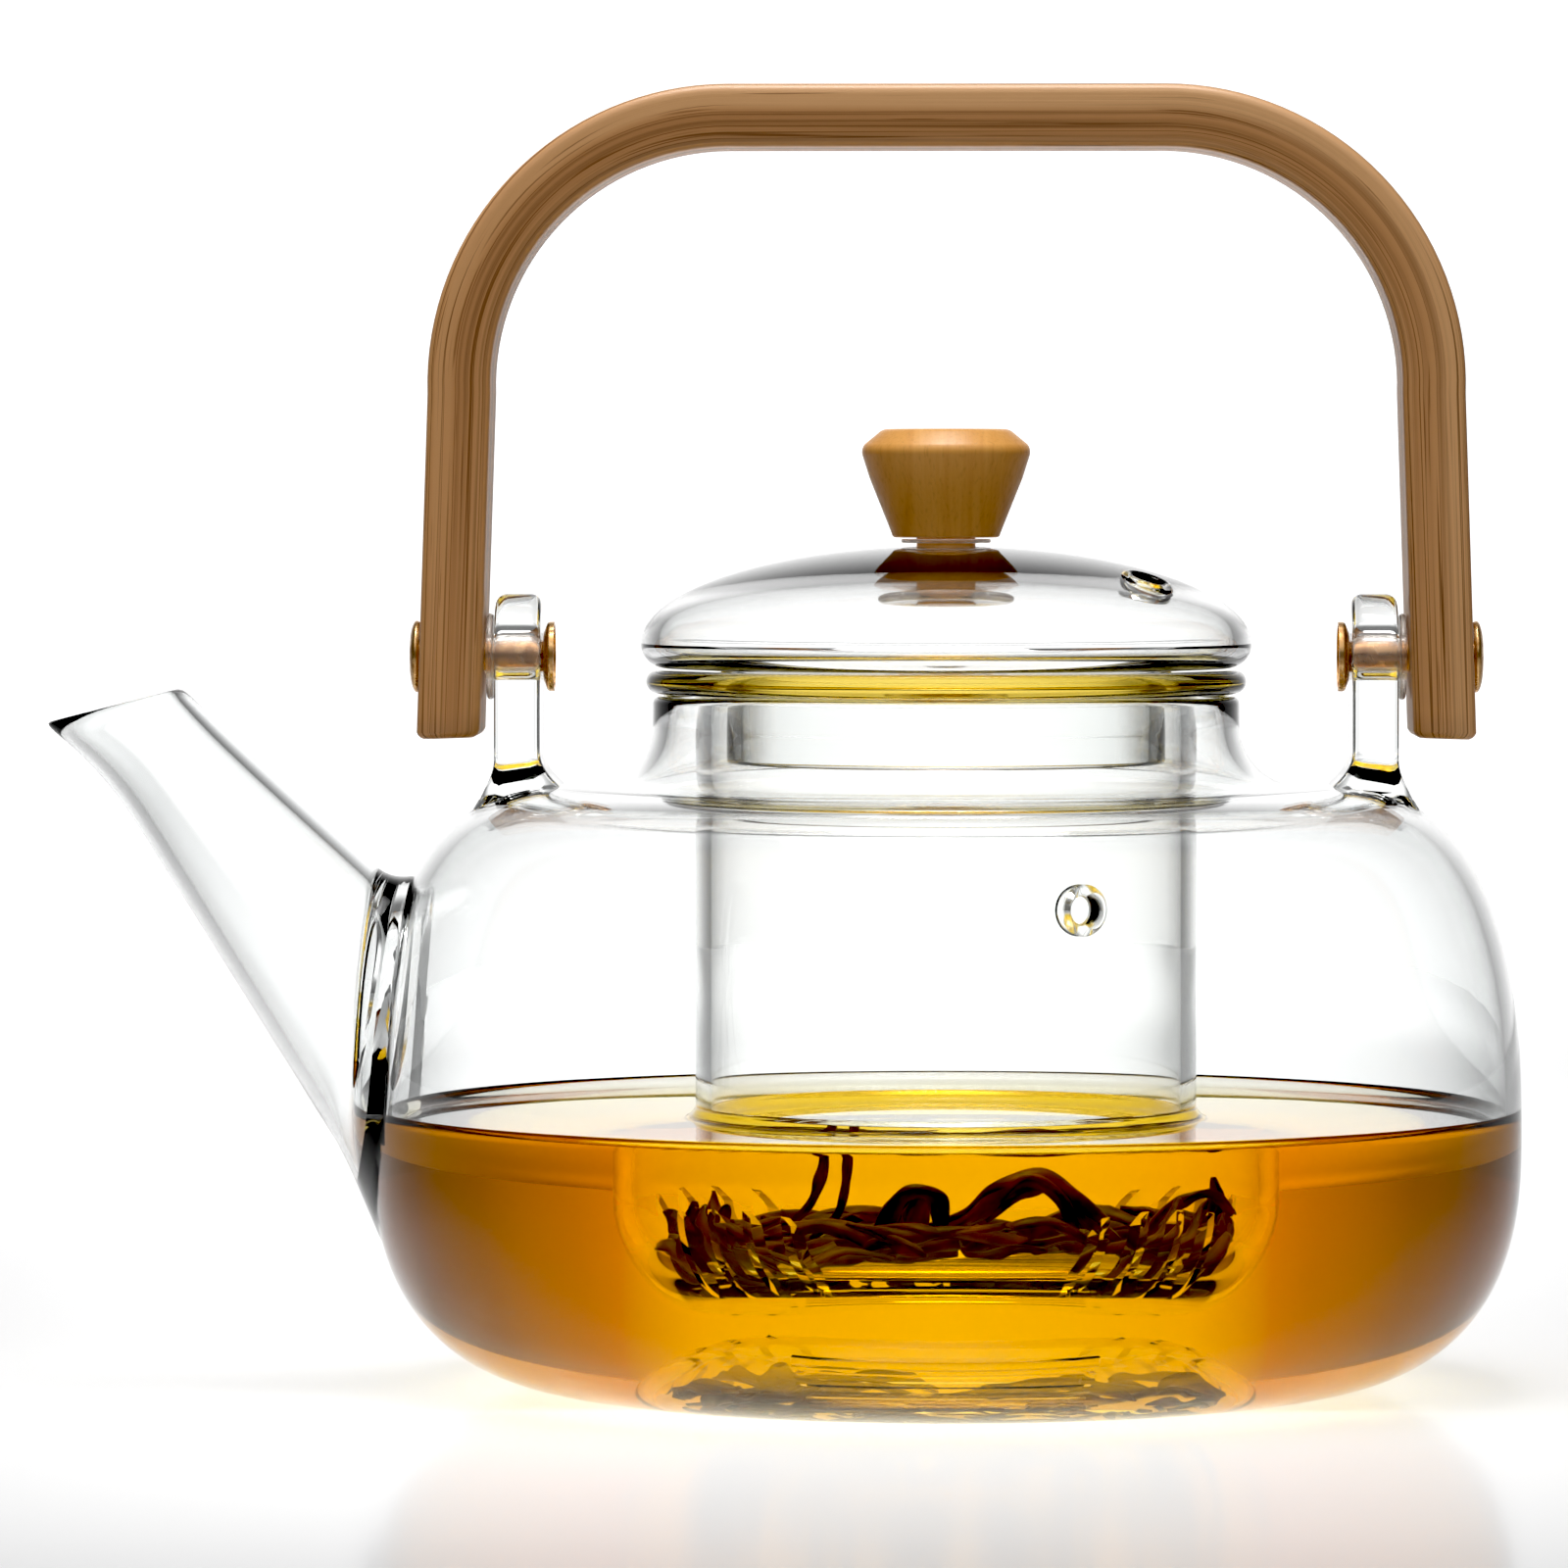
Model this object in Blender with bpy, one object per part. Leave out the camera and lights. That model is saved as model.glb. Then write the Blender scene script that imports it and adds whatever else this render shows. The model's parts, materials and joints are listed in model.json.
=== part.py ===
"""Glass teapot: blown bowl with spout and two lugs, lift-out infuser, domed lid, swinging bamboo bail.

Metres, +Z up. The origin is the middle of the flat base, the spout points to -X, and the bail swings
about a line along X through the two lugs.
"""
import math

import bmesh
import bpy
from mathutils import Matrix, Vector

GAP = 0.00025              # room left between pieces that touch or are fused
BODY_SEGMENTS = 48         # sides of the bowl
TUBE_SEGMENTS = 40         # sides of the infuser and the lid
SMALL_SEGMENTS = 24        # sides of the small turned pieces

# Bowl
BODY_RADIUS = 0.0753
BODY_WAIST_Z = 0.033       # height of the widest place
BASE_RADIUS = 0.044        # flat that the pot stands on
SHOULDER_Z = 0.079
SHOULDER_RADIUS = 0.050    # where the side curve meets the flat shoulder
SIDE_POWER = 2.5           # fullness of the side curves, 2 is an ellipse
WALL = 0.002
FLOOR = 0.0025
NECK_RADIUS = 0.0384
NECK_FILLET = 0.008
RIM_Z = 0.0907

# Spout, as two straight outlines in the XZ plane that it tapers between
SPOUT_LIP = Vector((-0.1144, 0.0, 0.0870))
SPOUT_BROW = Vector((-0.1002, 0.0, 0.0919))
SPOUT_HEEL = Vector((-0.0720, 0.0, 0.0196))
SPOUT_ROOT = Vector((-0.0660, 0.0, 0.0604))
SPOUT_MOUTH_WIDTH = 0.0156
SPOUT_BASE_WIDTH = 0.0370
SPOUT_WALL = 0.0018
LIP_FLARE = 0.0041         # how far the pouring lip curls out
LIP_SHARE = 0.24           # share of the spout's length that the curl takes
POUR_HOLE_RADIUS = 0.0113
POUR_HOLE_Z = 0.0502

# Pivot of the bail
PIVOT_Z = 0.0958
LUG_INNER_X = 0.0529
LUG_OUTER_X = 0.0589
LUG_HALF_WIDTH = 0.0082
LUG_BORE_RADIUS = 0.0031
LUG_STRAIGHT_Z = 0.085     # the lug starts to spread below this height
LUG_FOOT_SPREAD = 0.003
GROMMET_RADIUS = 0.00565
GROMMET_FLANGE = 0.0009
GROMMET_BORE_RADIUS = 0.00225
RIVET_RADIUS = 0.0020
RIVET_HEAD_RADIUS = 0.0047
RIVET_HEAD_HEIGHT = 0.0014
CAP_RADIUS = 0.00455
CAP_DEPTH = 0.0014
CAP_WALL = 0.0005

# Bail, by the centre line of the bar
BAR_THICKNESS = 0.0082
BAR_WIDTH = 0.018
BAR_ROUNDING = 0.0012
BEND_RADIUS = 0.0349
BEND_X = 0.02845
BEND_Z = 0.1313
LEG_SPLAY = math.radians(1.9)
LEG_END_Z = 0.0854

# Infuser
INFUSER_RADIUS = 0.0328
INFUSER_WALL = 0.002
INFUSER_FLOOR_Z = 0.0185
INFUSER_CORNER = 0.0075
FLANGE_RADIUS = 0.0393
FLANGE_Z = RIM_Z + 0.0003
FLANGE_HEIGHT = 0.0031
SLIT_WIDTH = 0.001
SLIT_PITCH = 0.005
SLITS_PER_CORNER = 4
SLIT_TOP_Z = 0.0265
SAW_RADIUS = 0.022
GRILLE_SLITS = 5
GRILLE_PITCH = 0.007
GRILLE_LENGTH = 0.029
SIDE_HOLE_RADIUS = 0.0018
SIDE_HOLE_X = 0.0176
SIDE_HOLE_Z = 0.064

# Lid
LID_RADIUS = 0.040
LID_SEAT_Z = FLANGE_Z + FLANGE_HEIGHT + GAP
LID_EQUATOR_Z = 0.0975
LID_TOP_Z = 0.1104
LID_WALL = 0.0024
LID_CURL = 0.0031
SLEEVE_RADIUS = 0.0287
SLEEVE_WALL = 0.002
SLEEVE_END_Z = 0.0808
LID_HOLE_RADIUS = 0.00415
VENT_RADIUS = 0.0018
VENT_PLACE = Vector((0.0256, -0.0162, 0.1062))

# Knob
STEM_RADIUS = 0.00385
STEM_END_Z = 0.1053
GASKET_RADIUS = 0.0059
KNOB_Z = LID_TOP_Z + 0.00105
KNOB_FOOT_RADIUS = 0.0071
KNOB_RADIUS = 0.0110
KNOB_TOP_RADIUS = 0.0094
KNOB_HEIGHT = 0.0141
KNOB_CHAMFER = 0.0028
WASHER_RADIUS = 0.009
WASHER_TOP_Z = 0.1072
WASHER_THICKNESS = 0.0017


# ---------------------------------------------------------------- materials
def material(name, colour, roughness, metallic=0.0, transmission=0.0):
    made = bpy.data.materials.new(name)
    made.use_nodes = True
    shader = made.node_tree.nodes["Principled BSDF"]
    shader.inputs["Base Color"].default_value = (*colour, 1.0)
    shader.inputs["Roughness"].default_value = roughness
    shader.inputs["Metallic"].default_value = metallic
    shader.inputs["Transmission Weight"].default_value = transmission
    return made


# ---------------------------------------------------------------- outlines
def sweep(centre, half, power, start, end, steps):
    """Points of a superellipse quarter; angles in degrees from +R towards +Z."""
    points = []
    for step in range(steps + 1):
        angle = math.radians(start + (end - start) * step / steps)
        across = math.copysign(abs(math.cos(angle)) ** (2 / power), math.cos(angle))
        up = math.copysign(abs(math.sin(angle)) ** (2 / power), math.sin(angle))
        points.append((centre[0] + half[0] * across, centre[1] + half[1] * up))
    return points


def arc(centre, radius, start, end, steps):
    """Points of a circle's arc; angles in degrees from +R towards +Z."""
    return sweep(centre, (radius, radius), 2, start, end, steps)


def body_outline(grow=0.0):
    """The bowl's outer side from the middle of the base up to the neck, moved outwards by grow."""
    waist = BODY_WAIST_Z
    lower = sweep((BASE_RADIUS, waist), (BODY_RADIUS - BASE_RADIUS + grow, waist + grow), SIDE_POWER, -90, 0, 7)
    upper_half = (BODY_RADIUS - SHOULDER_RADIUS + grow, SHOULDER_Z - waist + grow)
    upper = sweep((SHOULDER_RADIUS, waist), upper_half, SIDE_POWER, 0, 90, 7)
    fillet_centre = (NECK_RADIUS + NECK_FILLET, SHOULDER_Z + NECK_FILLET)
    fillet = arc(fillet_centre, NECK_FILLET - grow, 270, 180, 4)
    return [(0.0, -grow)] + lower + upper[1:] + fillet


def body_inner_outline():
    """The bowl's inner side from the neck down to the middle of the floor."""
    waist = BODY_WAIST_Z
    lower_half = (BODY_RADIUS - BASE_RADIUS - WALL, waist - FLOOR)
    lower = sweep((BASE_RADIUS, waist), lower_half, SIDE_POWER, 0, -90, 7)
    upper_half = (BODY_RADIUS - SHOULDER_RADIUS - WALL, SHOULDER_Z - waist - WALL)
    upper = sweep((SHOULDER_RADIUS, waist), upper_half, SIDE_POWER, 90, 0, 7)
    fillet_centre = (NECK_RADIUS + NECK_FILLET, SHOULDER_Z + NECK_FILLET)
    fillet = arc(fillet_centre, NECK_FILLET + WALL, 180, 270, 4)
    return fillet + upper[:-1] + lower + [(0.0, FLOOR)]


# ---------------------------------------------------------------- mesh tools
def new_object(name, mesh_builder, finish=None, smooth=True):
    """Turn a filled bmesh into an object, with its normals pointing out."""
    bmesh.ops.recalc_face_normals(mesh_builder, faces=mesh_builder.faces)
    mesh = bpy.data.meshes.new(name)
    mesh_builder.to_mesh(mesh)
    mesh_builder.free()
    made = bpy.data.objects.new(name, mesh)
    bpy.context.scene.collection.objects.link(made)
    if finish:
        mesh.materials.append(finish)
    if smooth:
        mesh.shade_smooth()
        mesh.set_sharp_from_angle(angle=math.radians(35))
    return made


def turned(name, outline, segments, finish=None, closed=False):
    """Spin an outline of (radius, height) points about Z."""
    builder = bmesh.new()
    corners = [builder.verts.new((radius, 0.0, height)) for radius, height in outline]
    last = len(corners) if closed else len(corners) - 1
    edges = [builder.edges.new((corners[i], corners[(i + 1) % len(corners)])) for i in range(last)]
    bmesh.ops.spin(
        builder, geom=corners + edges, cent=(0, 0, 0), axis=(0, 0, 1), angle=2 * math.pi,
        steps=segments, use_merge=True,
    )
    bmesh.ops.remove_doubles(builder, verts=builder.verts, dist=0.000001)
    return new_object(name, builder, finish)


def lofted(name, rings, finish=None):
    """Bridge rings of points into one closed skin with flat ends."""
    builder = bmesh.new()
    loops = []
    for ring in rings:
        corners = [builder.verts.new(point) for point in ring]
        loops.append([builder.edges.new((corners[i - 1], corners[i])) for i in range(len(corners))])
        if ring is rings[0] or ring is rings[-1]:
            builder.faces.new(corners)
    for one, other in zip(loops, loops[1:]):
        bmesh.ops.bridge_loops(builder, edges=one + other)
    return new_object(name, builder, finish)


def drum(name, radius, length, segments):
    """A plain cylinder about Z, centred on the origin."""
    half = length / 2
    return turned(name, [(0, -half), (radius, -half), (radius, half), (0, half)], segments)


def as_cutter(tool):
    tool.hide_render = True
    tool.display_type = "WIRE"
    return tool


def cut(piece, tool):
    """Take the tool's shape out of the piece."""
    change = piece.modifiers.new(tool.name, "BOOLEAN")
    change.operation = "DIFFERENCE"
    change.solver = "EXACT"
    change.object = as_cutter(tool)


def move_origin(piece, point):
    """Put the piece's origin at a point and leave its shape where it is."""
    piece.data.transform(Matrix.Translation(-Vector(point)))
    piece.location = point


def along_x(piece, x, side):
    """Lay a piece that was turned about Z along X at the pivot, its top towards the given side."""
    piece.data.transform(Matrix.Rotation(side * math.pi / 2, 4, "Y"))
    piece.location = (x, 0.0, PIVOT_Z)


# ---------------------------------------------------------------- pot
def make_pot_body(glass):
    half_wall = WALL / 2
    rim = arc((NECK_RADIUS - half_wall, RIM_Z - half_wall), half_wall, 0, 180, 4)
    outline = body_outline() + rim + body_inner_outline()
    body = turned("pot_body", outline, BODY_SEGMENTS, glass)
    hole = drum("pour_hole_cutter", POUR_HOLE_RADIUS, 0.03, SMALL_SEGMENTS)
    hole.rotation_euler = (0, math.pi / 2, 0)
    hole.location = (-BODY_RADIUS, 0, POUR_HOLE_Z)
    cut(body, hole)


def body_cutter():
    """The bowl as a solid, a little larger, that pieces welded on it are trimmed with."""
    outline = body_outline(GAP)
    outline.append((0.0, outline[-1][1]))
    return turned("body_cutter", outline, BODY_SEGMENTS)


def spout_ring(share, inset):
    """One section of the spout, from its mouth (share 0) to its root (share 1)."""
    low = SPOUT_LIP.lerp(SPOUT_HEEL, share)
    high = SPOUT_BROW.lerp(SPOUT_ROOT, share)
    low.x -= LIP_FLARE * max(0.0, 1 - share / LIP_SHARE) ** 3
    centre = (low + high) / 2
    reach = (high - low) / 2
    # the sections lie more aslant towards the root, so the wall is longer across them there
    reach *= 1 - inset * (1 + 0.4 * share) / reach.length
    half_width = (SPOUT_MOUTH_WIDTH + (SPOUT_BASE_WIDTH - SPOUT_MOUTH_WIDTH) * share) / 2 - inset
    ring = []
    for step in range(SMALL_SEGMENTS):
        angle = 2 * math.pi * step / SMALL_SEGMENTS
        ring.append(centre + reach * math.cos(angle) + Vector((0, half_width * math.sin(angle), 0)))
    return ring


def make_spout(glass, trim):
    shares = [0.0, 0.04, 0.09, 0.16, LIP_SHARE, 0.5, 0.75, 1.0]
    spout = lofted("spout", [spout_ring(share, 0.0) for share in shares], glass)
    channel_shares = [-0.05] + shares + [1.05]
    channel = lofted("spout_channel_cutter", [spout_ring(share, SPOUT_WALL) for share in channel_shares])
    cut(spout, trim)
    cut(spout, channel)


def lug_sections():
    """Level sections of the lug from its foot up, as (height, half width, half thickness)."""
    half_thick = (LUG_OUTER_X - LUG_INNER_X) / 2
    foot_low = SHOULDER_Z - 0.003
    sections = []
    for share in (1.0, 0.8, 0.6, 0.4, 0.2, 0.0):
        height = LUG_STRAIGHT_Z + (foot_low - LUG_STRAIGHT_Z) * share
        spread = LUG_FOOT_SPREAD * share ** 3
        sections.append((height, LUG_HALF_WIDTH + spread, half_thick + spread / 2))
    for across, height in arc((0.0, PIVOT_Z), LUG_HALF_WIDTH, 0, 78, 7):
        sections.append((height, across, half_thick))
    sections.append((PIVOT_Z + LUG_HALF_WIDTH, 0.0009, half_thick - 0.0006))
    return sections


def make_lug(name, side, glass, trim):
    """An upright ear, round over its bore, that spreads where it meets the shoulder."""
    middle = side * (LUG_INNER_X + LUG_OUTER_X) / 2
    rings = []
    for height, wide, thick in lug_sections():
        signs = ((1, 1), (-1, 1), (-1, -1), (1, -1))
        rings.append([Vector((middle + thick * x, wide * y, height)) for x, y in signs])
    lug = lofted(name, rings, glass)
    bore = drum(name + "_bore_cutter", LUG_BORE_RADIUS, 0.03, SMALL_SEGMENTS)
    along_x(bore, middle, 1)
    cut(lug, trim)
    cut(lug, bore)


def make_grommet(name, side, silicone):
    """A flange outside the lug and a sleeve through it, turned about the pivot line."""
    flange_start = LUG_OUTER_X + GAP
    flange_end = flange_start + GROMMET_FLANGE
    sleeve_radius = LUG_BORE_RADIUS - GAP
    outline = [
        (GROMMET_BORE_RADIUS, LUG_INNER_X - LUG_OUTER_X),
        (sleeve_radius, LUG_INNER_X - LUG_OUTER_X),
        (sleeve_radius, flange_start - LUG_OUTER_X),
        (GROMMET_RADIUS, flange_start - LUG_OUTER_X),
        (GROMMET_RADIUS, flange_end - LUG_OUTER_X),
        (GROMMET_BORE_RADIUS, flange_end - LUG_OUTER_X),
    ]
    grommet = turned(name, outline, SMALL_SEGMENTS, silicone, closed=True)
    along_x(grommet, side * LUG_OUTER_X, side)


# ---------------------------------------------------------------- bail
def leg_centre_x(height):
    """Where the bar's centre line is on a leg at a height."""
    bend_end_z = BEND_Z - BEND_RADIUS * math.sin(LEG_SPLAY)
    bend_end_x = BEND_X + BEND_RADIUS * math.cos(LEG_SPLAY)
    return bend_end_x + (bend_end_z - height) * math.tan(LEG_SPLAY)


def bail_stations():
    """Centre points of the bar and its outward directions, from the left leg's end to the right's."""
    half = [((BEND_X * share, BEND_Z + BEND_RADIUS), math.pi / 2) for share in (0.0, 1.0)]
    turn = math.pi / 2 + LEG_SPLAY
    for step in range(1, 11):
        angle = math.pi / 2 - turn * step / 10
        centre = (BEND_X + BEND_RADIUS * math.cos(angle), BEND_Z + BEND_RADIUS * math.sin(angle))
        half.append((centre, angle))
    half.append(((leg_centre_x(LEG_END_Z), LEG_END_Z), -LEG_SPLAY))
    mirrored = [((-centre[0], centre[1]), math.pi - angle) for centre, angle in half[1:]]
    return mirrored[::-1] + half


def make_handle(bamboo, axis):
    """A flat bar bent round two corners; the drill goes through both legs."""
    rings = []
    rounding = BAR_ROUNDING
    half_thick = BAR_THICKNESS / 2
    half_wide = BAR_WIDTH / 2
    section = [
        (half_thick, half_wide - rounding), (half_thick - rounding, half_wide),
        (rounding - half_thick, half_wide), (-half_thick, half_wide - rounding),
        (-half_thick, rounding - half_wide), (rounding - half_thick, -half_wide),
        (half_thick - rounding, -half_wide), (half_thick, rounding - half_wide),
    ]
    for centre, angle in bail_stations():
        out = Vector((math.cos(angle), 0, math.sin(angle)))
        middle = Vector((centre[0], 0, centre[1]))
        rings.append([middle + out * thick + Vector((0, wide, 0)) for thick, wide in section])
    handle = lofted("handle", rings, bamboo)
    drill = drum("rivet_hole_cutter", RIVET_RADIUS + GAP, 0.16, SMALL_SEGMENTS)
    along_x(drill, 0.0, 1)
    cut(handle, drill)
    move_origin(handle, (0, 0, PIVOT_Z))
    handle.location = (0, 0, 0)
    handle.parent = axis


def make_rivet(name, side, brass, axis):
    """A domed head outside the leg and a shank that ends inside the cap."""
    head_x = leg_centre_x(PIVOT_Z) + BAR_THICKNESS / 2 / math.cos(LEG_SPLAY) + GAP
    shank_end = LUG_INNER_X - CAP_DEPTH - head_x
    dome = sweep((0.0, 0.0005), (RIVET_HEAD_RADIUS, RIVET_HEAD_HEIGHT - 0.0005), 2.4, 0, 90, 4)
    outline = [(0.0, shank_end), (RIVET_RADIUS, shank_end), (RIVET_RADIUS, 0.0), (RIVET_HEAD_RADIUS, 0.0)]
    rivet = turned(name, outline + dome[:-1] + [(0.0, RIVET_HEAD_HEIGHT)], SMALL_SEGMENTS, brass)
    rivet.data.transform(Matrix.Rotation(side * math.pi / 2, 4, "Y"))
    rivet.location = (side * head_x, 0, 0)
    rivet.parent = axis


def make_rivet_cap(name, side, brass, axis):
    """A dished ring round the shank's inner end, opening away from the lug."""
    seat = LUG_INNER_X - GAP
    bore = RIVET_RADIUS + GAP
    outline = [
        (bore, 0.0), (bore + 0.0009, 0.0), (CAP_RADIUS, CAP_WALL - CAP_DEPTH),
        (CAP_RADIUS, -CAP_DEPTH), (CAP_RADIUS - CAP_WALL, -CAP_DEPTH), (bore + 0.0005, -CAP_WALL),
        (bore, -CAP_WALL),
    ]
    cap = turned(name, outline, SMALL_SEGMENTS, brass, closed=True)
    cap.data.transform(Matrix.Rotation(side * math.pi / 2, 4, "Y"))
    cap.location = (side * seat, 0, 0)
    cap.parent = axis


# ---------------------------------------------------------------- infuser
def slit_cutter():
    """Gangs of saw blades that cut the four diagonal corners of the floor, and a grille in its middle."""
    builder = bmesh.new()
    reach = (SLIT_TOP_Z - INFUSER_FLOOR_Z) / 2
    chord_middle = Vector((INFUSER_RADIUS - reach, INFUSER_FLOOR_Z + reach))
    half_chord = reach * math.sqrt(2)
    offset = math.sqrt(SAW_RADIUS ** 2 - half_chord ** 2) / math.sqrt(2)
    centre = chord_middle + Vector((offset, -offset))
    for corner in range(4):
        turn = Matrix.Rotation(math.radians(45 + 90 * corner), 4, "Z")
        for slit in range(SLITS_PER_CORNER):
            across = (slit - (SLITS_PER_CORNER - 1) / 2) * SLIT_PITCH
            place = turn @ Matrix.Translation((centre.x, across, centre.y))
            bmesh.ops.create_cone(
                builder, cap_ends=True, segments=SMALL_SEGMENTS * 2, radius1=SAW_RADIUS,
                radius2=SAW_RADIUS, depth=SLIT_WIDTH, matrix=place @ Matrix.Rotation(math.pi / 2, 4, "X"),
            )
    for slit in range(GRILLE_SLITS):
        across = (slit - (GRILLE_SLITS - 1) / 2) * GRILLE_PITCH
        size = Matrix.Diagonal((GRILLE_LENGTH, SLIT_WIDTH, 0.008, 1))
        bmesh.ops.create_cube(builder, size=1, matrix=Matrix.Translation((0, across, INFUSER_FLOOR_Z)) @ size)
    return new_object("infuser_slit_cutter", builder)


def infuser_outline():
    edge = FLANGE_HEIGHT / 2
    bore = INFUSER_RADIUS - INFUSER_WALL
    corner_centre = (INFUSER_RADIUS - INFUSER_CORNER, INFUSER_FLOOR_Z + INFUSER_CORNER)
    outside = [(0.0, INFUSER_FLOOR_Z)] + arc(corner_centre, INFUSER_CORNER, 270, 360, 5)
    flange = [(INFUSER_RADIUS, FLANGE_Z)] + arc((FLANGE_RADIUS - edge, FLANGE_Z + edge), edge, -90, 90, 6)
    lip = [(bore + 0.0008, FLANGE_Z + FLANGE_HEIGHT), (bore, FLANGE_Z + FLANGE_HEIGHT - 0.0008)]
    inside = arc(corner_centre, INFUSER_CORNER - INFUSER_WALL, 360, 270, 5)
    return outside + flange + lip + inside + [(0.0, INFUSER_FLOOR_Z + INFUSER_WALL)]


def make_infuser(glass):
    infuser = turned("infuser", infuser_outline(), TUBE_SEGMENTS, glass)
    cut(infuser, slit_cutter())
    hole = drum("infuser_hole_cutter", SIDE_HOLE_RADIUS, 0.02, SMALL_SEGMENTS)
    azimuth = -math.acos(SIDE_HOLE_X / INFUSER_RADIUS)
    hole.rotation_euler = (0, math.pi / 2, azimuth)
    hole.location = (SIDE_HOLE_X, INFUSER_RADIUS * math.sin(azimuth), SIDE_HOLE_Z)
    cut(infuser, hole)


# ---------------------------------------------------------------- lid
def lid_outline():
    """A closed loop: over the dome, round its curled edge, down the sleeve and back inside."""
    rise = LID_TOP_Z - LID_EQUATOR_Z
    drop = LID_EQUATOR_Z - LID_SEAT_Z
    centre = (0.0, LID_EQUATOR_Z)
    hole_angle = math.degrees(math.acos(LID_HOLE_RADIUS / LID_RADIUS))
    dome = sweep(centre, (LID_RADIUS, rise), 2, hole_angle, 0, 8)
    curl_centre = (LID_RADIUS - LID_CURL, LID_EQUATOR_Z)
    curl = sweep(curl_centre, (LID_CURL, drop), 2, 0, -90, 4)[1:]
    sleeve_bore = SLEEVE_RADIUS - SLEEVE_WALL
    sleeve_end = SLEEVE_END_Z + SLEEVE_WALL / 2
    fillet = [(SLEEVE_RADIUS + 0.0008, LID_SEAT_Z), (SLEEVE_RADIUS, LID_SEAT_Z - 0.0008)]
    tip = arc((SLEEVE_RADIUS - SLEEVE_WALL / 2, sleeve_end), SLEEVE_WALL / 2, 0, -180, 4)
    ledge = LID_SEAT_Z + SLEEVE_WALL
    shelf = [(sleeve_bore, ledge - 0.0008), (sleeve_bore + 0.0008, ledge)]
    inner_curl = sweep(curl_centre, (LID_CURL - LID_WALL + 0.0004, LID_EQUATOR_Z - ledge), 2, -90, 0, 3)
    inner_angle = math.degrees(math.acos(LID_HOLE_RADIUS / (LID_RADIUS - LID_WALL)))
    inner_dome = sweep(centre, (LID_RADIUS - LID_WALL, rise - LID_WALL), 2, 0, inner_angle, 7)
    return dome + curl + fillet + tip + shelf + inner_curl[:-1] + inner_dome


def make_lid(glass):
    lid = turned("lid", lid_outline(), TUBE_SEGMENTS, glass, closed=True)
    vent = drum("vent_cutter", VENT_RADIUS, 0.012, SMALL_SEGMENTS)
    vent.location = VENT_PLACE
    cut(lid, vent)


def make_knob(wood):
    rounding = 0.0006
    shoulder = KNOB_HEIGHT - KNOB_CHAMFER
    outline = [
        (0.0, STEM_END_Z), (STEM_RADIUS, STEM_END_Z), (STEM_RADIUS, KNOB_Z),
        (KNOB_FOOT_RADIUS - rounding, KNOB_Z), (KNOB_FOOT_RADIUS, KNOB_Z + rounding),
        (KNOB_RADIUS - rounding, KNOB_Z + shoulder - rounding), (KNOB_RADIUS, KNOB_Z + shoulder),
        (KNOB_TOP_RADIUS + rounding, KNOB_Z + KNOB_HEIGHT - rounding),
        (KNOB_TOP_RADIUS - rounding, KNOB_Z + KNOB_HEIGHT - 0.0001), (0.0, KNOB_Z + KNOB_HEIGHT),
    ]
    turned("lid_knob", outline, TUBE_SEGMENTS - 8, wood)


def make_ring(name, outer_radius, low, high, finish):
    """A flat ring round the knob's stem."""
    bore = STEM_RADIUS + GAP
    outline = [(bore, low), (outer_radius, low), (outer_radius, high), (bore, high)]
    turned(name, outline, SMALL_SEGMENTS, finish, closed=True)


# ---------------------------------------------------------------- assembly
def clear_scene():
    for thing in list(bpy.data.objects):
        bpy.data.objects.remove(thing, do_unlink=True)


def main():
    clear_scene()
    glass = material("clear_glass", (0.95, 0.97, 0.97), 0.02, transmission=1.0)
    rim_glass = material("infuser_glass", (0.96, 0.95, 0.86), 0.02, transmission=1.0)
    bamboo = material("bamboo", (0.47, 0.25, 0.10), 0.45)
    wood = material("knob_wood", (0.58, 0.28, 0.07), 0.40)
    brass = material("brass", (0.72, 0.47, 0.24), 0.25, metallic=1.0)
    silicone = material("silicone", (0.86, 0.76, 0.70), 0.45, transmission=0.3)
    clear_ring = material("clear_silicone", (0.92, 0.90, 0.86), 0.20, transmission=0.7)

    make_pot_body(glass)
    trim = body_cutter()
    make_spout(glass, trim)
    axis = bpy.data.objects.new("handle_axis", None)
    axis.location = (0, 0, PIVOT_Z)
    bpy.context.scene.collection.objects.link(axis)
    make_handle(bamboo, axis)
    for word, side in (("left", -1), ("right", 1)):
        make_lug("lug_" + word, side, glass, trim)
        make_grommet("grommet_" + word, side, silicone)
        make_rivet("rivet_" + word, side, brass, axis)
        make_rivet_cap("rivet_cap_" + word, side, brass, axis)
    make_infuser(rim_glass)
    make_lid(glass)
    make_knob(wood)
    make_ring("knob_gasket", GASKET_RADIUS, LID_TOP_Z + GAP, KNOB_Z - GAP, clear_ring)
    make_ring("knob_washer", WASHER_RADIUS, WASHER_TOP_Z - WASHER_THICKNESS, WASHER_TOP_Z, clear_ring)


main()
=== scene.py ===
"""Looks of the glass teapot: fused blown glass, tea and leaves, bamboo bail, wooden knob, brass rivets.

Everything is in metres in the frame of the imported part: +Z up, the spout towards -X, the front towards -Y.
"""
import math

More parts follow.
